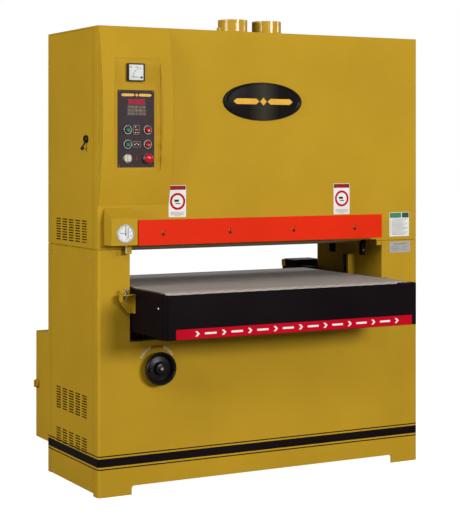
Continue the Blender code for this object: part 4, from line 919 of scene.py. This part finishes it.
def load_meter():
    """A square panel meter: a dark case, a face with plain ticks and lines, and a needle."""
    x, y, z, wide, high = METER_X, PANEL_Y, METER_Z, 0.038, 0.037
    case = slab([rounded_at(x, z, wide, high, 0.003)], y - 0.018, y - HAIR)
    wide, high = wide - 0.0048, high - 0.0048
    case = carved(case, box((x - wide, -0.1, z - high), (x + wide, y - 0.013, z + high)))
    piece("meter_frame", case, meter_black, replaces=["load_meter"], edge=0.0008)
    face = slab(
        [rectangle(x - wide + 0.0002, z - high + 0.0002, x + wide - 0.0002, z + high - 0.0002)], y - 0.0134,
        y - 0.0128
    )
    piece("meter_face", face, paper_white)
    rows = [
        rectangle(x - 0.026, z - 0.0195, x + 0.005, z - 0.017),
        rectangle(x - 0.021, z - 0.0255, x + 0.0, z - 0.024)
    ]
    piece("meter_print", slab(rows, y - 0.0136, y - 0.0133), grey_print)
    ticks = []
    for number in range(17):
        turn, top = math.radians(98 + 4.75 * number), 0.042
        long, half = (0.0085, 0.00075) if number % 4 == 0 else (0.004, 0.00045)
        ticks.append(tick((STAFF_X, STAFF_Z), turn, top - long, top, half))
    ticks += [
        rounded(x - 0.027, z + 0.0195, x - 0.019, z + 0.0225, 0.0008),
        rounded(x - 0.003, z + 0.0205, x + 0.011, z + 0.023, 0.0008)
    ]
    piece("meter_ticks", slab(ticks, y - 0.0136, y - 0.0133), ink)
    reach = [(STAFF_X + 0.004, STAFF_Z - 0.0006), (STAFF_X + 0.004, STAFF_Z + 0.0006)]
    reach += [(STAFF_X - 0.037, STAFF_Z + 0.0002), (STAFF_X - 0.037, STAFF_Z - 0.0002)]
    needle = slab([reach], y - 0.015, y - 0.0143)
    profile = [
        (0.0, 0.016), (0.0044, 0.0158), (0.005, 0.0148), (0.005, 0.0142), (0.0018, 0.0142), (0.0018, 0.007)
    ]
    add_turned(needle, profile + [(0.0, 0.007)], (STAFF_X, y, STAFF_Z), "front", 20)
    piece("meter_hand", needle, ink, "meter_needle", ["meter_needle"])


def height_gauge():
    back = -HAIR
    outline = [
        (back, 1.19), (back, GAUGE_FLOOR), (HOOD_FRONT, GAUGE_FLOOR), (HOOD_FRONT, 1.148), (-0.002, 1.19)
    ]
    inner = [(0.01, 1.1865), (0.01, GAUGE_FLOOR + SKIN), (HOOD_FRONT + SKIN, GAUGE_FLOOR + SKIN)]
    inner += [(HOOD_FRONT + SKIN, 1.146), (-0.003, 1.1865)]
    case = carved(
        slab([outline], GAUGE_LEFT, GAUGE_RIGHT, "side"),
        slab([inner], GAUGE_LEFT + SKIN, GAUGE_RIGHT - SKIN, "side"),
        rod(0.0373, 0.06, 0.1, (DIAL_X, 0.0, DIAL_Z), "front", 48),
        rod(0.005, 1.02, 1.05, (LIMIT_X, LIMIT_Y, 0.0), "up", 24),
    )
    case = carved(case, box((0.112, -0.033, 1.0), (0.137, -0.029, 1.04)), operation="UNION")
    piece("gauge_housing", case, yellow, replaces=["gauge_box"], edge=0.0011)


def dial():
    """The dial's face, rim, marks and hand."""
    face = slab([circle((DIAL_X, DIAL_Z), DIAL_RADIUS, 64), circle((DIAL_X, DIAL_Z), 0.003, 16)],
                HOOD_FRONT + 0.001, HOOD_FRONT + 0.007)
    piece("dial_face", face, white_print, replaces=["gauge_dial"])
    profile = [(0.0345, 0.0742), (0.035, 0.0762), (0.0362, 0.077), (0.0384, 0.0766), (0.0392, 0.0751)]
    rim = closed_ring(profile, (DIAL_X, 0.0, DIAL_Z), "front", 64)
    piece("dial_rim", rim, bezel_silver)
    ticks = []
    for number in range(50):
        turn, high = math.radians(7.2 * number), 0.0335
        long, half = (0.006, 0.0008) if number % 5 == 0 else (0.0032, 0.0004)
        ticks.append(tick((DIAL_X, DIAL_Z), turn, high - long, high, half, from_top=True))
    for number in range(10):
        turn = math.radians(36.0 * number)
        ticks.append(circle((DIAL_X + 0.0232 * math.sin(turn), DIAL_Z + 0.0232 * math.cos(turn)), 0.0011, 10))
    ticks.append(rectangle(DIAL_X + 0.006, DIAL_Z - 0.026, DIAL_X + 0.0076, DIAL_Z + 0.026))
    ticks.append(rectangle(DIAL_X + 0.013, DIAL_Z - 0.02, DIAL_X + 0.0146, DIAL_Z + 0.023))
    ticks.append(rectangle(DIAL_X - 0.0222, DIAL_Z + 0.001, DIAL_X - 0.0052, DIAL_Z + 0.0034))
    piece("dial_marks", slab(ticks, HOOD_FRONT + 0.0007, HOOD_FRONT + 0.0011), ink)
    hand = [
        (DIAL_X - 0.0016, DIAL_Z - 0.008), (DIAL_X + 0.0016, DIAL_Z - 0.008),
        (DIAL_X + 0.0004, DIAL_Z + 0.03)
    ]
    hand += [(DIAL_X - 0.0004, DIAL_Z + 0.03)]
    pointer = slab([hand], HOOD_FRONT + 0.0001, HOOD_FRONT + 0.0005)
    profile = [(0.0, 0.0754), (0.0022, 0.0752), (0.0026, 0.0745), (0.0026, 0.0605)]
    add_turned(pointer, profile, (DIAL_X, 0.0, DIAL_Z), "front", 20)
    piece("dial_hand", pointer, ink, "gauge_pointer", ["gauge_pointer"])


def limit_switch():
    """The plunger below the gauge's box, and its nut."""
    profile = [(0.0075, 1.066), (0.0075, 1.063), (0.0042, 1.063), (0.0042, 1.033), (0.0022, 1.032)]
    profile += [(0.0022, 1.006), (0.0016, 1.0045)]
    plunger = turned(profile, (LIMIT_X, LIMIT_Y, 0.0), "up", 28)
    piece("switch_plunger", plunger, zinc, "limit_plunger", ["limit_plunger"])
    rings = [circle((LIMIT_X, LIMIT_Y), NUT_RADIUS, 6), circle((LIMIT_X, LIMIT_Y), 0.0052, 24)]
    nut = slab(rings, GAUGE_FLOOR - 0.003, GAUGE_FLOOR - 0.0001, "flat")
    piece("plunger_nut", nut, zinc, edge=0.0005)


# ---------------------------------------------------------------- guard


def guard():
    front, back, low, high = HOOD_FRONT + 0.0055, -HAIR, 1.043, 1.134
    channel = [
        (back, high), (back, high - SKIN), (front + SKIN, high - SKIN), (front + SKIN, low + SKIN),
        (-0.035, low + SKIN), (-0.035, low), (front, low), (front, high),
    ]
    carrier = slab([channel], GUARD_LEFT + 0.001, GUARD_RIGHT - 0.001, "side")
    piece("guard_channel", carrier, yellow, replaces=["guard_carrier"], edge=0.0008)
    screws = bmesh.new()
    for x in GUARD_SCREW_XS:
        head = HOOD_FRONT - HAIR
        profile = [
            (0.0, -head + 0.0031), (0.003, -head + 0.0029), (0.0052, -head + 0.002),
            (0.0063, -head + 0.0006)
        ]
        profile += [(0.0063, -head), (0.003, -head), (0.003, -front - 0.001)]
        add_turned(screws, profile, (x, 0.0, GUARD_SCREW_Z), "front", 28)
    piece("guard_screws", screws, wheel_black)
    slots = []
    for x in GUARD_SCREW_XS:
        top = arc((x, GUARD_SCREW_Z + GUARD_TRAVEL + 0.006), 0.0036, 0.0, 180.0, 10)
        slots.append(top + arc((x, GUARD_SCREW_Z - HAIR), 0.0036, 180.0, 360.0, 10))
    outline = rounded(GUARD_LEFT, GUARD_FLOOR, GUARD_RIGHT, GUARD_TOP, 0.0012, 3)
    board = slab([outline] + slots, HOOD_FRONT, HOOD_FRONT + 0.005)
    piece("guard_plate", board, guard_red, "guard_board", ["guard_board"], edge=0.0007)


# ---------------------------------------------------------------- labels


def sign(name, left, right, low, high, band_floor, ring_x, ring_z, ring_r):
    """A white sign without words: a red bar in a dark band, a ring round plain blocks, and grey lines."""
    face = PRINT[0]
    piece(name + "_plate", slab([rounded(left, low, right, high, 0.003)], *PRINT), white_print)
    band = rounded(left + 0.002, band_floor, right - 0.002, high - 0.002, 0.001)
    bar = rounded(left + 0.007, band_floor + 0.004, right - 0.007, high - 0.0055, 0.003)
    printed(name + "_band", [band, bar], face, 0.0002, ink)
    bars = [bar, circle((ring_x, ring_z), ring_r, 48), circle((ring_x, ring_z), ring_r - 0.0098, 48)]
    printed(name + "_red", bars, face, 0.0002, sign_red)
    blocks = [rounded(ring_x - 0.015, ring_z - 0.002, ring_x + 0.006, ring_z + 0.008, 0.002)]
    blocks.append(rounded(ring_x - 0.01, ring_z - 0.011, ring_x + 0.013, ring_z - 0.007, 0.0015))
    printed(name + "_blocks", blocks, face, 0.0002, ink)
    rows, wide = [], right - left
    for number, share in enumerate((0.82, 0.7, 0.78, 0.4)):
        z = low + 0.0205 - number * 0.005
        rows.append(
            rectangle(left + wide * (1 - share) / 2, z - 0.001, right - wide * (1 - share) / 2, z + 0.001)
        )
    printed(name + "_lines", rows, face, 0.0002, grey_print)


def labels():
    sign("sign_left", 0.322, 0.404, 1.146, 1.28, 1.261, 0.364, 1.212, 0.036)
    sign("sign_right", 1.143, 1.228, 1.142, 1.279, 1.26, 1.186, 1.212, 0.036)
    face = PRINT[0]
    left, right, low, high = 1.445, 1.554, 1.034, 1.144
    piece("list_plate", slab([rounded(left, low, right, high, 0.003)], *PRINT), white_print)
    head = [rectangle(left + 0.002, 1.119, right - 0.044, high - 0.002)]
    printed("list_head_green", head, face, 0.0002, green_print)
    head = [rectangle(right - 0.04, 1.119, right - 0.002, high - 0.002)]
    printed("list_head_dark", head, face, 0.0002, green_dark)
    rows = []
    for number in range(15):
        z = 1.114 - number * 0.0051
        rows.append(rectangle(left + 0.006, z - 0.0009, left + 0.01, z + 0.0009))
        rows.append(rectangle(left + 0.014, z - 0.0009, right - 0.008 - 0.009 * (number * 5 % 4), z + 0.0009))
    printed("list_lines", rows, face, 0.0002, grey_print)
    left, right, low, high = 1.445, 1.56, 0.96, 1.011
    piece(
        "data_plate", slab([rounded(left, low, right, high, 0.002)], -0.001, -0.00005), data_plate_metal,
        edge=0.0002
    )
    rows = []
    rows.append(rounded(left + 0.022, 0.996, right - 0.022, 1.003, 0.003))
    for number in range(3):
        z = 0.987 - number * 0.008
        rows.append(rectangle(left + 0.01, z - 0.0014, right - 0.064 + 0.01 * (number % 2), z + 0.0014))
        rows.append(rectangle(left + 0.066, z - 0.0014, right - 0.012 - 0.01 * (number % 2), z + 0.0014))
    piece("data_lines", slab(rows, -0.0012, -0.001), grey_print)
    rivets = [
        circle((x, z), 0.0016, 12) for x in (left + 0.004, right - 0.004)
        for z in (low + 0.004, high - 0.004)
    ]
    piece("data_rivets", slab(rivets, -0.0018, -0.0009), zinc, edge=0.0003)


def wheel_label():
    """A printed arc above the handwheel: rows of short plain ticks, red in the middle."""
    centre, pale, red = (0.268, 0.524), [], []
    for number in range(30):
        turn = math.radians(150 - 4.1 * number)
        low, high = (0.0795, 0.0885) if number % 3 else (0.078, 0.09)
        half = 0.0011 if number % 2 else 0.0018
        (red if 9 < number < 20 else pale).append(tick(centre, turn, low, high, half))
    piece("wheel_arc", slab(pale, *PRINT), pale_print)
    piece("wheel_arc_middle", slab(red, *PRINT), key_red)


# ---------------------------------------------------------------- table


def side_loop(radius, steps=40):
    rear = arc((FEED_DRIVE_Y, FEED_AXLE_Z), radius, -90.0, 90.0, steps)
    return rear + arc((FEED_IDLER_Y, FEED_AXLE_Z), radius, 90.0, 270.0, steps)


def hex_bolts(name, places, axis, across, high, material, body, washer=True):
    """Hexagon bolt heads with washers at places, standing out along the axis."""
    heads = bmesh.new()
    for place in places:
        if washer:
            add_turned(heads, [(0.0, 0.0012), (across * 0.72, 0.001), (across * 0.74, 0.0)], place, axis, 24)
        profile = [(across * 0.46, high), (across * 0.56, high - 0.0008), (across * 0.56, 0.0008)]
        add_turned(heads, profile, place, axis, 6)
    piece(name, heads, material, body, edge=0.0002, sharp=30)


def table():
    thick, left, right = 0.007, TABLE_LEFT, TABLE_RIGHT
    border = [(-0.34, TABLE_FLOOR), (0.6, TABLE_FLOOR), (0.6, 0.8535), (-0.34, 0.8535)]
    journals = [circle((y, FEED_AXLE_Z), 0.0153, 32) for y in (FEED_IDLER_Y, FEED_DRIVE_Y)]
    sides = [slab([border] + journals, low, low + thick, "side") for low in (left, right - thick)]
    beams = [box((left + 0.003, y - 0.025, 0.676), (right - 0.003, y + 0.025, 0.702)) for y in (0.08, 0.47)]
    piece("table_sides", joined(*sides, *beams), black, "table", ["table_frame"], edge=0.0008)
    belt = slab([side_loop(FEED_OUTER), side_loop(FEED_OUTER - 0.004)], left + 0.009, right - 0.009, "side")
    piece("conveyor_belt", belt, feed_rubber, "table", ["feed_belt"], edge=0.0009)
    strip = box((left + 0.0004, -0.278, 0.8536), (left + 0.0086, 0.54, 0.8588))
    piece("edge_strip_left", strip, dark_steel, "table", edge=0.0008)
    strip = box((right - 0.0086, -0.278, 0.8536), (right - 0.0004, 0.54, 0.8588))
    piece("edge_strip_right", strip, yellow, "table", edge=0.0008)
    ys = [-0.255 + 0.105 * number for number in range(8)]
    hex_bolts(
        "strip_screws_left", [(left + 0.0045, y, 0.8588) for y in ys], "up", 0.0058, 0.0026, zinc, "table",
        False
    )
    places = [(right - 0.0045, y, 0.8588) for y in (-0.142, 0.068, 0.278)]
    hex_bolts("strip_screws_right", places, "up", 0.008, 0.005, dark_steel, "table")
    stay = slab([rounded(1.268, -0.356, 1.329, -0.309, 0.004)], 0.8512, 0.8552, "flat")
    piece("belt_corner_plate", stay, black, "table", edge=0.0006)
    hex_bolts(
        "corner_bolts", [(1.284, -0.332, 0.8552), (1.314, -0.332, 0.8552)], "up", 0.008, 0.0045, dark_steel,
        "table"
    )
    hex_bolts(
        "axle_bolts_left", [(left + HAIR, FEED_IDLER_Y, FEED_AXLE_Z)], "left", 0.012, 0.006, zinc, "table"
    )


def apron_path(inset, front):
    bend = APRON_BEND - inset
    left, right = APRON_LEFT, APRON_RIGHT
    corner_left = arc((left + APRON_BEND, front + APRON_BEND), bend, 180.0, 270.0, 14)
    corner_right = arc((right - APRON_BEND, front + APRON_BEND), bend, 270.0, 360.0, 14)
    return [(left + inset, APRON_BACK)] + corner_left + corner_right + [(right - inset, APRON_BACK)]


def apron():
    front, left_face = APRON_FRONT + 0.0006, APRON_LEFT + 0.0002
    sheet = slab([apron_path(0.0, front) + apron_path(SKIN, front)[::-1]], APRON_FLOOR, APRON_TOP, "flat")
    piece("apron_sheet", sheet, black, "estop_panel", ["estop_apron"], edge=0.001)
    strip = slab([rounded(0.178, 0.6785, 1.312, 0.719, 0.002)], front - 0.0003, front)
    piece("apron_strip", strip, strip_red, "estop_panel")
    marks, middle, half = [], 0.69875, 0.0105
    for number in range(9):
        x = 0.262 + number * 0.12
        chevron = [(x, middle - half), (x + 0.01, middle - half), (x + 0.0205, middle)]
        marks.append(chevron + [(x + 0.01, middle + half), (x, middle + half), (x + 0.0105, middle)])
        if number < 8:
            marks.append(rounded(x + 0.043, middle - 0.004, x + 0.097, middle + 0.004, 0.0035))
    piece("apron_marks", slab(marks, front - 0.0006, front - 0.0003), white_print, "estop_panel")
    screw = turned(
        [(0.0, 0.003), (0.003, 0.0028), (0.0048, 0.0018), (0.0052, 0.0)], (left_face, -0.298, 0.8), "left",
        20
    )
    piece("apron_screw", screw, zinc, "estop_panel")


def limit_bracket():
    top, right, low, left, back = 0.835, TABLE_LEFT - HAIR, 0.757, 0.08, -0.03
    inner = right - 0.003
    web = [
        (left + 0.001, top - 0.002), (left + 0.001, 0.806), (0.122, low), (inner, low), (inner, top - 0.002)
    ]
    front, foot_front = -0.064, -0.042
    flange = [(left, front), (0.119, front), (right - 0.002, foot_front), (right - 0.002, back), (left, back)]
    made = carved(
        slab([flange], top - 0.004, top, "flat"),
        slab([web], back - 0.004, back),
        box((left + 0.0015, -0.06, 0.808), (left + 0.0045, back - 0.002, top - 0.002)),
        box((right - 0.005, foot_front, low - 0.002), (right, back - 0.001, top - 0.001)),
        operation="UNION",
    )
    hole = rod(0.0045, 0.8, 0.86, (LIMIT_X, LIMIT_Y, 0.0), "up", 24)
    piece("bracket_plates", carved(made, hole), yellow, "table", ["limit_bracket"], edge=0.0007)
    bolt = slab([circle((LIMIT_X, LIMIT_Y), NUT_RADIUS, 6)], 0.851, 0.857, "flat")
    shank = turned([(0.004, 0.852), (0.004, 0.8185), (0.0034, 0.818)], (LIMIT_X, LIMIT_Y, 0.0), "up", 24)
    nuts = [slab([circle((LIMIT_X, LIMIT_Y), NUT_RADIUS, 6)], z, z + 0.0067, "flat") for z in (0.8353, 0.824)]
    piece("limit_bolt_and_nuts", joined(bolt, shank, *nuts), chrome, "table", ["limit_bolt"], edge=0.0005)


def gearmotor():
    gearbox = slab([rounded(0.49, 0.73, 0.612, 0.866, 0.006)], TABLE_RIGHT + 0.0033, 1.3735, "side")
    bore = [(0.0153, 1.32), (0.0153, 1.365)]
    gearbox = carved(gearbox, turned(bore, (0.0, FEED_DRIVE_Y, FEED_AXLE_Z), "right", 32))
    case = slab([rounded(0.6125, 0.72, 0.735, 0.89, 0.01)], 1.312, 1.47, "side")
    neck = slab([rounded(0.606, 0.74, 0.62, 0.86, 0.004)], 1.34, 1.37, "side")
    piece(
        "gearmotor_housing", joined(gearbox, case, neck), black, "table", ["feed_gearmotor"], edge=0.0025,
        steps=3
    )
    plate = slab([rounded(1.318, 0.619, 1.464, 0.729, 0.006)], 0.89, 0.8926, "flat")
    piece("gearmotor_lid", plate, cast_grey, "table", edge=0.0006)
    places = [(x, y, 0.8905) for x in (1.33, 1.452) for y in (0.63, 0.718)]
    hex_bolts("gearmotor_bolts", places, "up", 0.006, 0.0024, zinc, "table", False)
    tab = slab(
        [rounded(0.704, 0.856, 0.734, 0.89, 0.004), circle((0.719, 0.876), 0.0045, 20)], 1.308, 1.3118,
        "side"
    )
    piece("gearmotor_tab", tab, yellow, "table", edge=0.0006)


def handwheel():
    rim, web, hub = -0.03, -0.033, -0.043
    profile = [
        (0.0, -hub + 0.0085), (0.011, -hub + 0.008), (0.012, -hub + 0.001), (0.022, -hub - 0.002),
        (0.025, -web - 0.005),
        (0.03, -web - 0.009), (0.05, -web - 0.012), (0.055, -web - 0.008), (0.0575, -web + 0.004),
        (0.059, -rim + 0.013),
        (0.0615, -rim + 0.0172), (0.065, -rim + 0.0185), (0.068, -rim + 0.016), (0.0696, -rim + 0.0115),
        (WHEEL_RADIUS, -rim + 0.006),
        (0.0692, -rim + 0.0005), (0.067, -rim - 0.003), (0.06, -rim - 0.0045), (0.052, -rim - 0.016),
        (0.024, -rim - 0.014),
        (0.02, 0.01), (0.0125, 0.008), (0.0125, -0.1297),
    ]
    wheel = turned(profile, (WHEEL_X, 0.0, WHEEL_Z), "front", 96)
    piece("wheel_casting", wheel, wheel_black, "handwheel", ["handwheel"], sharp=40)
    profile = [(0.0, 0.053), (0.0075, 0.0526), (0.0096, 0.0514), (0.01, 0.05), (0.01, 0.045)]
    cap = turned(profile, (WHEEL_X, 0.0, WHEEL_Z), "front", 40)
    piece("wheel_hub", cap, dark_steel, "handwheel")
    profile = [(0.0, 0.0546), (0.0022, 0.0544), (0.0034, 0.0534), (0.0036, 0.052)]
    point = turned(profile, (WHEEL_X, 0.0, WHEEL_Z), "front", 24)
    piece("wheel_hub_screw", point, brass, "handwheel")
    plug_x, plug_z = WHEEL_X - 0.042, WHEEL_Z - 0.004
    profile = [(0.0, 0.037), (0.0062, 0.0366), (0.0082, 0.0348), (0.0085, 0.033), (0.0085, 0.015)]
    plug = turned(profile, (plug_x, 0.0, plug_z), "front", 32)
    piece("wheel_plug", plug, soft_rubber, "handwheel")


# ---------------------------------------------------------------- throat


def guides():
    post = turned([(0.0075, GUIDE_TOP), (0.0085, GUIDE_TOP - 0.001), (0.0085, THROAT_FLOOR + HAIR)],
                  (1.374, 0.268, 0.0), "up", 32)
    piece("guide_round", post, gloss_black, replaces=["guide_post"])
    bar = box((1.366, 0.222, THROAT_FLOOR + HAIR), (THROAT_RIGHT - HAIR, 0.234, GUIDE_TOP))
    piece("guide_flat", bar, yellow, replaces=["guide_bar"], edge=0.0008)


def hold_downs():
    """The two hold-down bars with a hanger at each end, and the screws of the right ones."""
    for side, y in (("front", 0.096), ("rear", 0.35)):
        left, right, low, high, thick = 0.152, 1.37, 1.062, 1.072, 0.018
        front, back = y - 0.013, y + 0.013
        made = carved(
            box((left, front, low), (right, back, high)),
            box((left, front, 1.01), (left + thick, back, low + 0.002)),
            slab([rounded(right - thick, 0.947, right, low + 0.002, 0.005)], front, back),
            operation="UNION",
        )
        made = carved(made, rod(0.0103, 0.1, 1.5, (0.0, y, 1.0315), "right", 24))
        piece("hanger_" + side, made, black, side + "_hold_down", ["pressure_frame_" + side], edge=0.0009)
        profile = [(0.0, 0.0034), (0.003, 0.0032), (0.0052, 0.0022), (0.006, 0.0006), (0.006, -0.0002)]
        heads = turned(profile, (right - 0.011, front, 0.97), "front", 24)
        piece("hanger_screws_" + side, heads, dark_steel, side + "_hold_down")


# ---------------------------------------------------------------- electrical cabinet


def electrical_cabinet():
    low, high = (BOX_LEFT, DEPTH + HAIR, BOX_FLOOR), (BOX_RIGHT, BOX_BACK, BOX_TOP)
    inside = 0.0025
    case = carved(
        slab([rounded(low[0], low[2], high[0], high[2], 0.004)], low[1], high[1]),
        box((low[0] + inside, low[1] + inside, low[2] + inside), (high[0] - inside, 0.9, high[2] - inside)),
        rod(0.008, -0.01, 0.05, (0.0, SWITCH_Y, SWITCH_Z), "right", 24),
    )
    piece("switch_box", case, yellow, replaces=["electrical_cabinet"], edge=0.001)


def cable_glands():
    glands = bmesh.new()
    for x in (0.06, 0.115, 0.17):
        for turns, radius, floor, top in ((6, 0.0135, 0.0, 0.006), (12, 0.0118, 0.006, 0.0175)):
            profile = [(radius - 0.0008, BOX_TOP + top), (radius, BOX_TOP + top - 0.001)]
            profile += [(radius, BOX_TOP + floor)]
            add_turned(glands, profile, (x, 0.6, 0.0), "up", turns)
        add_turned(glands, [(0.0, BOX_TOP + 0.022), (0.008, BOX_TOP + 0.0215), (0.0086, BOX_TOP + 0.017)],
                   (x, 0.6, 0.0), "up", 20)
    piece("cable_glands", glands, contactor_plastic, sharp=30)


def switch_box_door():
    door_low, door_high = BOX_BACK + 0.0003, BOX_BACK + 0.003
    door = slab(
        [rounded(BOX_LEFT + 0.0005, BOX_FLOOR + 0.0005, BOX_RIGHT - 0.0005, BOX_TOP - 0.0005, 0.003)],
        door_low, door_high
    )
    piece("switch_box_door", door, yellow, "electrical_door", ["electrical_door"], edge=0.0009)
    lock = [(0.006, 0.7596), (0.0115, 0.7588), (0.014, 0.756), (0.014, door_low + 0.001)]
    boss = turned(lock, (0.075, 0.0, 0.369), "back", 32)
    boss = carved(boss, box((0.0735, 0.7575, 0.364), (0.0765, 0.77, 0.374)))
    piece("door_lock", boss, dark_steel, "electrical_door")


def main_switch():
    knob = turned([(0.0178, -0.0085), (0.019, -0.01), (0.019, -BOX_LEFT + HAIR)],
                  (0.0, SWITCH_Y, SWITCH_Z), "left", 48)
    grip = slab([rounded(0.7195, 0.355, 0.7305, 0.389, 0.004)], 0.0005, 0.0095, "side")
    spindle = rod(0.007, 0.015, 0.04, (0.0, SWITCH_Y, SWITCH_Z), "right", 24)
    piece(
        "switch_knob", joined(knob, grip, spindle), yellow, "main_switch", ["main_switch_knob"],
        edge=0.0012
    )


def contactors():
    plate_back = DEPTH + 0.0038
    bank = box((0.07, plate_back, 0.18), (0.57, plate_back + 0.003, 0.56))
    piece("contactor_plate", bank, zinc, replaces=["contactor_bank"], edge=0.0006)
    blocks, middles = [], (0.12, 0.24, 0.36, 0.48)
    for x in middles:
        block = slab(
            [rounded(x - 0.038, 0.33, x + 0.038, 0.44, 0.004)], plate_back + 0.003, plate_back + 0.06
        )
        cap = slab([rounded(x - 0.026, 0.352, x + 0.026, 0.418, 0.004)], plate_back + 0.06, plate_back + 0.09)
        blocks += [block, cap]
    piece("contactor_blocks", joined(*blocks), contactor_plastic, edge=0.0012)
    offsets = [(dx, z) for dx in (-0.024, 0.0, 0.024) for z in (0.34, 0.43)]
    heads = bmesh.new()
    for place in [(x + dx, plate_back + 0.06, z) for x in middles for dx, z in offsets]:
        add_turned(heads, [(0.0, 0.0018), (0.0036, 0.0014), (0.004, 0.0)], place, "back", 12)
    piece("contactor_screws", heads, zinc)


# ---------------------------------------------------------------- carried-over parts


def finish_carried_parts():
    """The inner pieces keep their CAD shape and get a finish."""
    finishes = {
        cast_grey: ["main_motor", "lift_base", "drum_bearing_left", "tension_cylinder"],
        dark_steel: ["head_frame", "tension_yoke", "table_bed"],
        steel: [
            "motor_pulley", "tension_roller", "pressure_roller_front", "pressure_roller_rear",
            "feed_drive_roller", "feed_idler_roller",
        ],
        greased_steel: ["jack_screw_1", "jack_screw_2", "jack_screw_3", "jack_screw_4"],
        chrome: ["tension_rod"],
        soft_rubber: ["contact_drum", "drive_v_belt"],
        abrasive: ["abrasive_belt"],
    }
    for material, nodes in finishes.items():
        for node in nodes:
            for part_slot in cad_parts[node].material_slots:
                part_slot.material = material


# ---------------------------------------------------------------- studio


def seen_or_lit(tree, seen, lit):
    """One brightness for what the camera sees of the studio, and another for the light it throws."""
    mix = add_node(tree, "Mix", {"A": lit, "B": seen})
    tree.links.new(add_node(tree, "LightPath").outputs["Is Camera Ray"], mix.inputs["Factor"])
    return mix.outputs["Result"]


def studio():
    floor = slab([rectangle(-30.0, -30.0, 30.0, 30.0)], -0.02, 0.0, "flat")
    sheet = as_object(floor, "studio_floor")
    material, tree, shader = surface("floor_pale", (0.24, 0.24, 0.24), 0.9)
    tint = blend(tree, noise(tree, 0.6), (0.235, 0.235, 0.235), (0.245, 0.245, 0.245))
    tree.links.new(tint, shader.inputs["Base Color"])
    shader.inputs["Specular IOR Level"].default_value = 0.1
    shader.inputs["Emission Color"].default_value = (1.0, 1.0, 1.0, 1.0)
    tree.links.new(seen_or_lit(tree, 1.0, 0.0), shader.inputs["Emission Strength"])
    sheet.data.materials.append(material)
    bpy.context.scene.collection.objects.link(sheet)
    world = bpy.data.worlds.new("studio_white")
    world.use_nodes = True
    back = world.node_tree.nodes["Background"]
    back.inputs["Color"].default_value = (1.0, 1.0, 1.0, 1.0)
    world.node_tree.links.new(seen_or_lit(world.node_tree, 1.0, FILL_LIGHT), back.inputs["Strength"])
    bpy.context.scene.world = world


def area_light(name, place, target, width, height, power):
    data = bpy.data.lights.new(name, "AREA")
    data.shape, data.size, data.size_y, data.energy = "RECTANGLE", width, height, power
    lamp = bpy.data.objects.new(name, data)
    lamp.location = place
    lamp.rotation_euler = (Vector(target) - Vector(place)).to_track_quat("-Z", "Y").to_euler()
    bpy.context.scene.collection.objects.link(lamp)
    return lamp


def camera():
    data = bpy.data.cameras.new("photo_camera")
    data.lens, data.shift_y = LENS, LENS_SHIFT
    eye = bpy.data.objects.new("photo_camera", data)
    eye.location = EYE
    eye.rotation_euler = (math.radians(90.0), 0.0, math.radians(EYE_TURN))
    bpy.context.scene.collection.objects.link(eye)
    bpy.context.scene.camera = eye


BUILDERS = (
    base_and_columns, head_shell, side_cover, belt_door, door_latch, dust_ports, oval_badge, base_stripes,
    control_fairing, control_plate, display, keys, plate_bars, symbols, push_buttons, load_meter,
    height_gauge, dial, limit_switch, guard, labels, wheel_label, table, apron, limit_bracket, gearmotor,
    handwheel, guides, hold_downs, electrical_cabinet, cable_glands, switch_box_door, main_switch,
    contactors, finish_carried_parts, studio,
)
for build in BUILDERS:
    build()

# Each light's name, place, target, width, height and power.
LIGHTS = (
    ("key", (1.6, -7.7, 2.7), (0.0, 0.0, 1.4), 2.4, 1.4, 495.0),
    ("front_left", (-2.2, -3.4, 3.4), (-0.4, 0.0, 1.3), 1.4, 1.0, 34.0),
    ("left_fill", (-6.9, -1.2, 2.6), (-0.4, 0.0, 1.5), 2.6, 2.0, 335.0),
    ("strip", (-0.9, -6.2, 2.9), (-0.1, 0.0, 1.6), 0.12, 1.2, 26.0),
    ("right_strip", (6.0, -1.6, 3.0), (0.2, 0.0, 1.5), 0.6, 1.8, 110.0),
    ("back_fill", (1.8, 5.5, 6.0), (0.0, 0.3, 1.0), 2.0, 2.0, 230.0),
)
for light in LIGHTS:
    area_light(*light)
camera()
bpy.context.scene.view_settings.view_transform = "Standard"
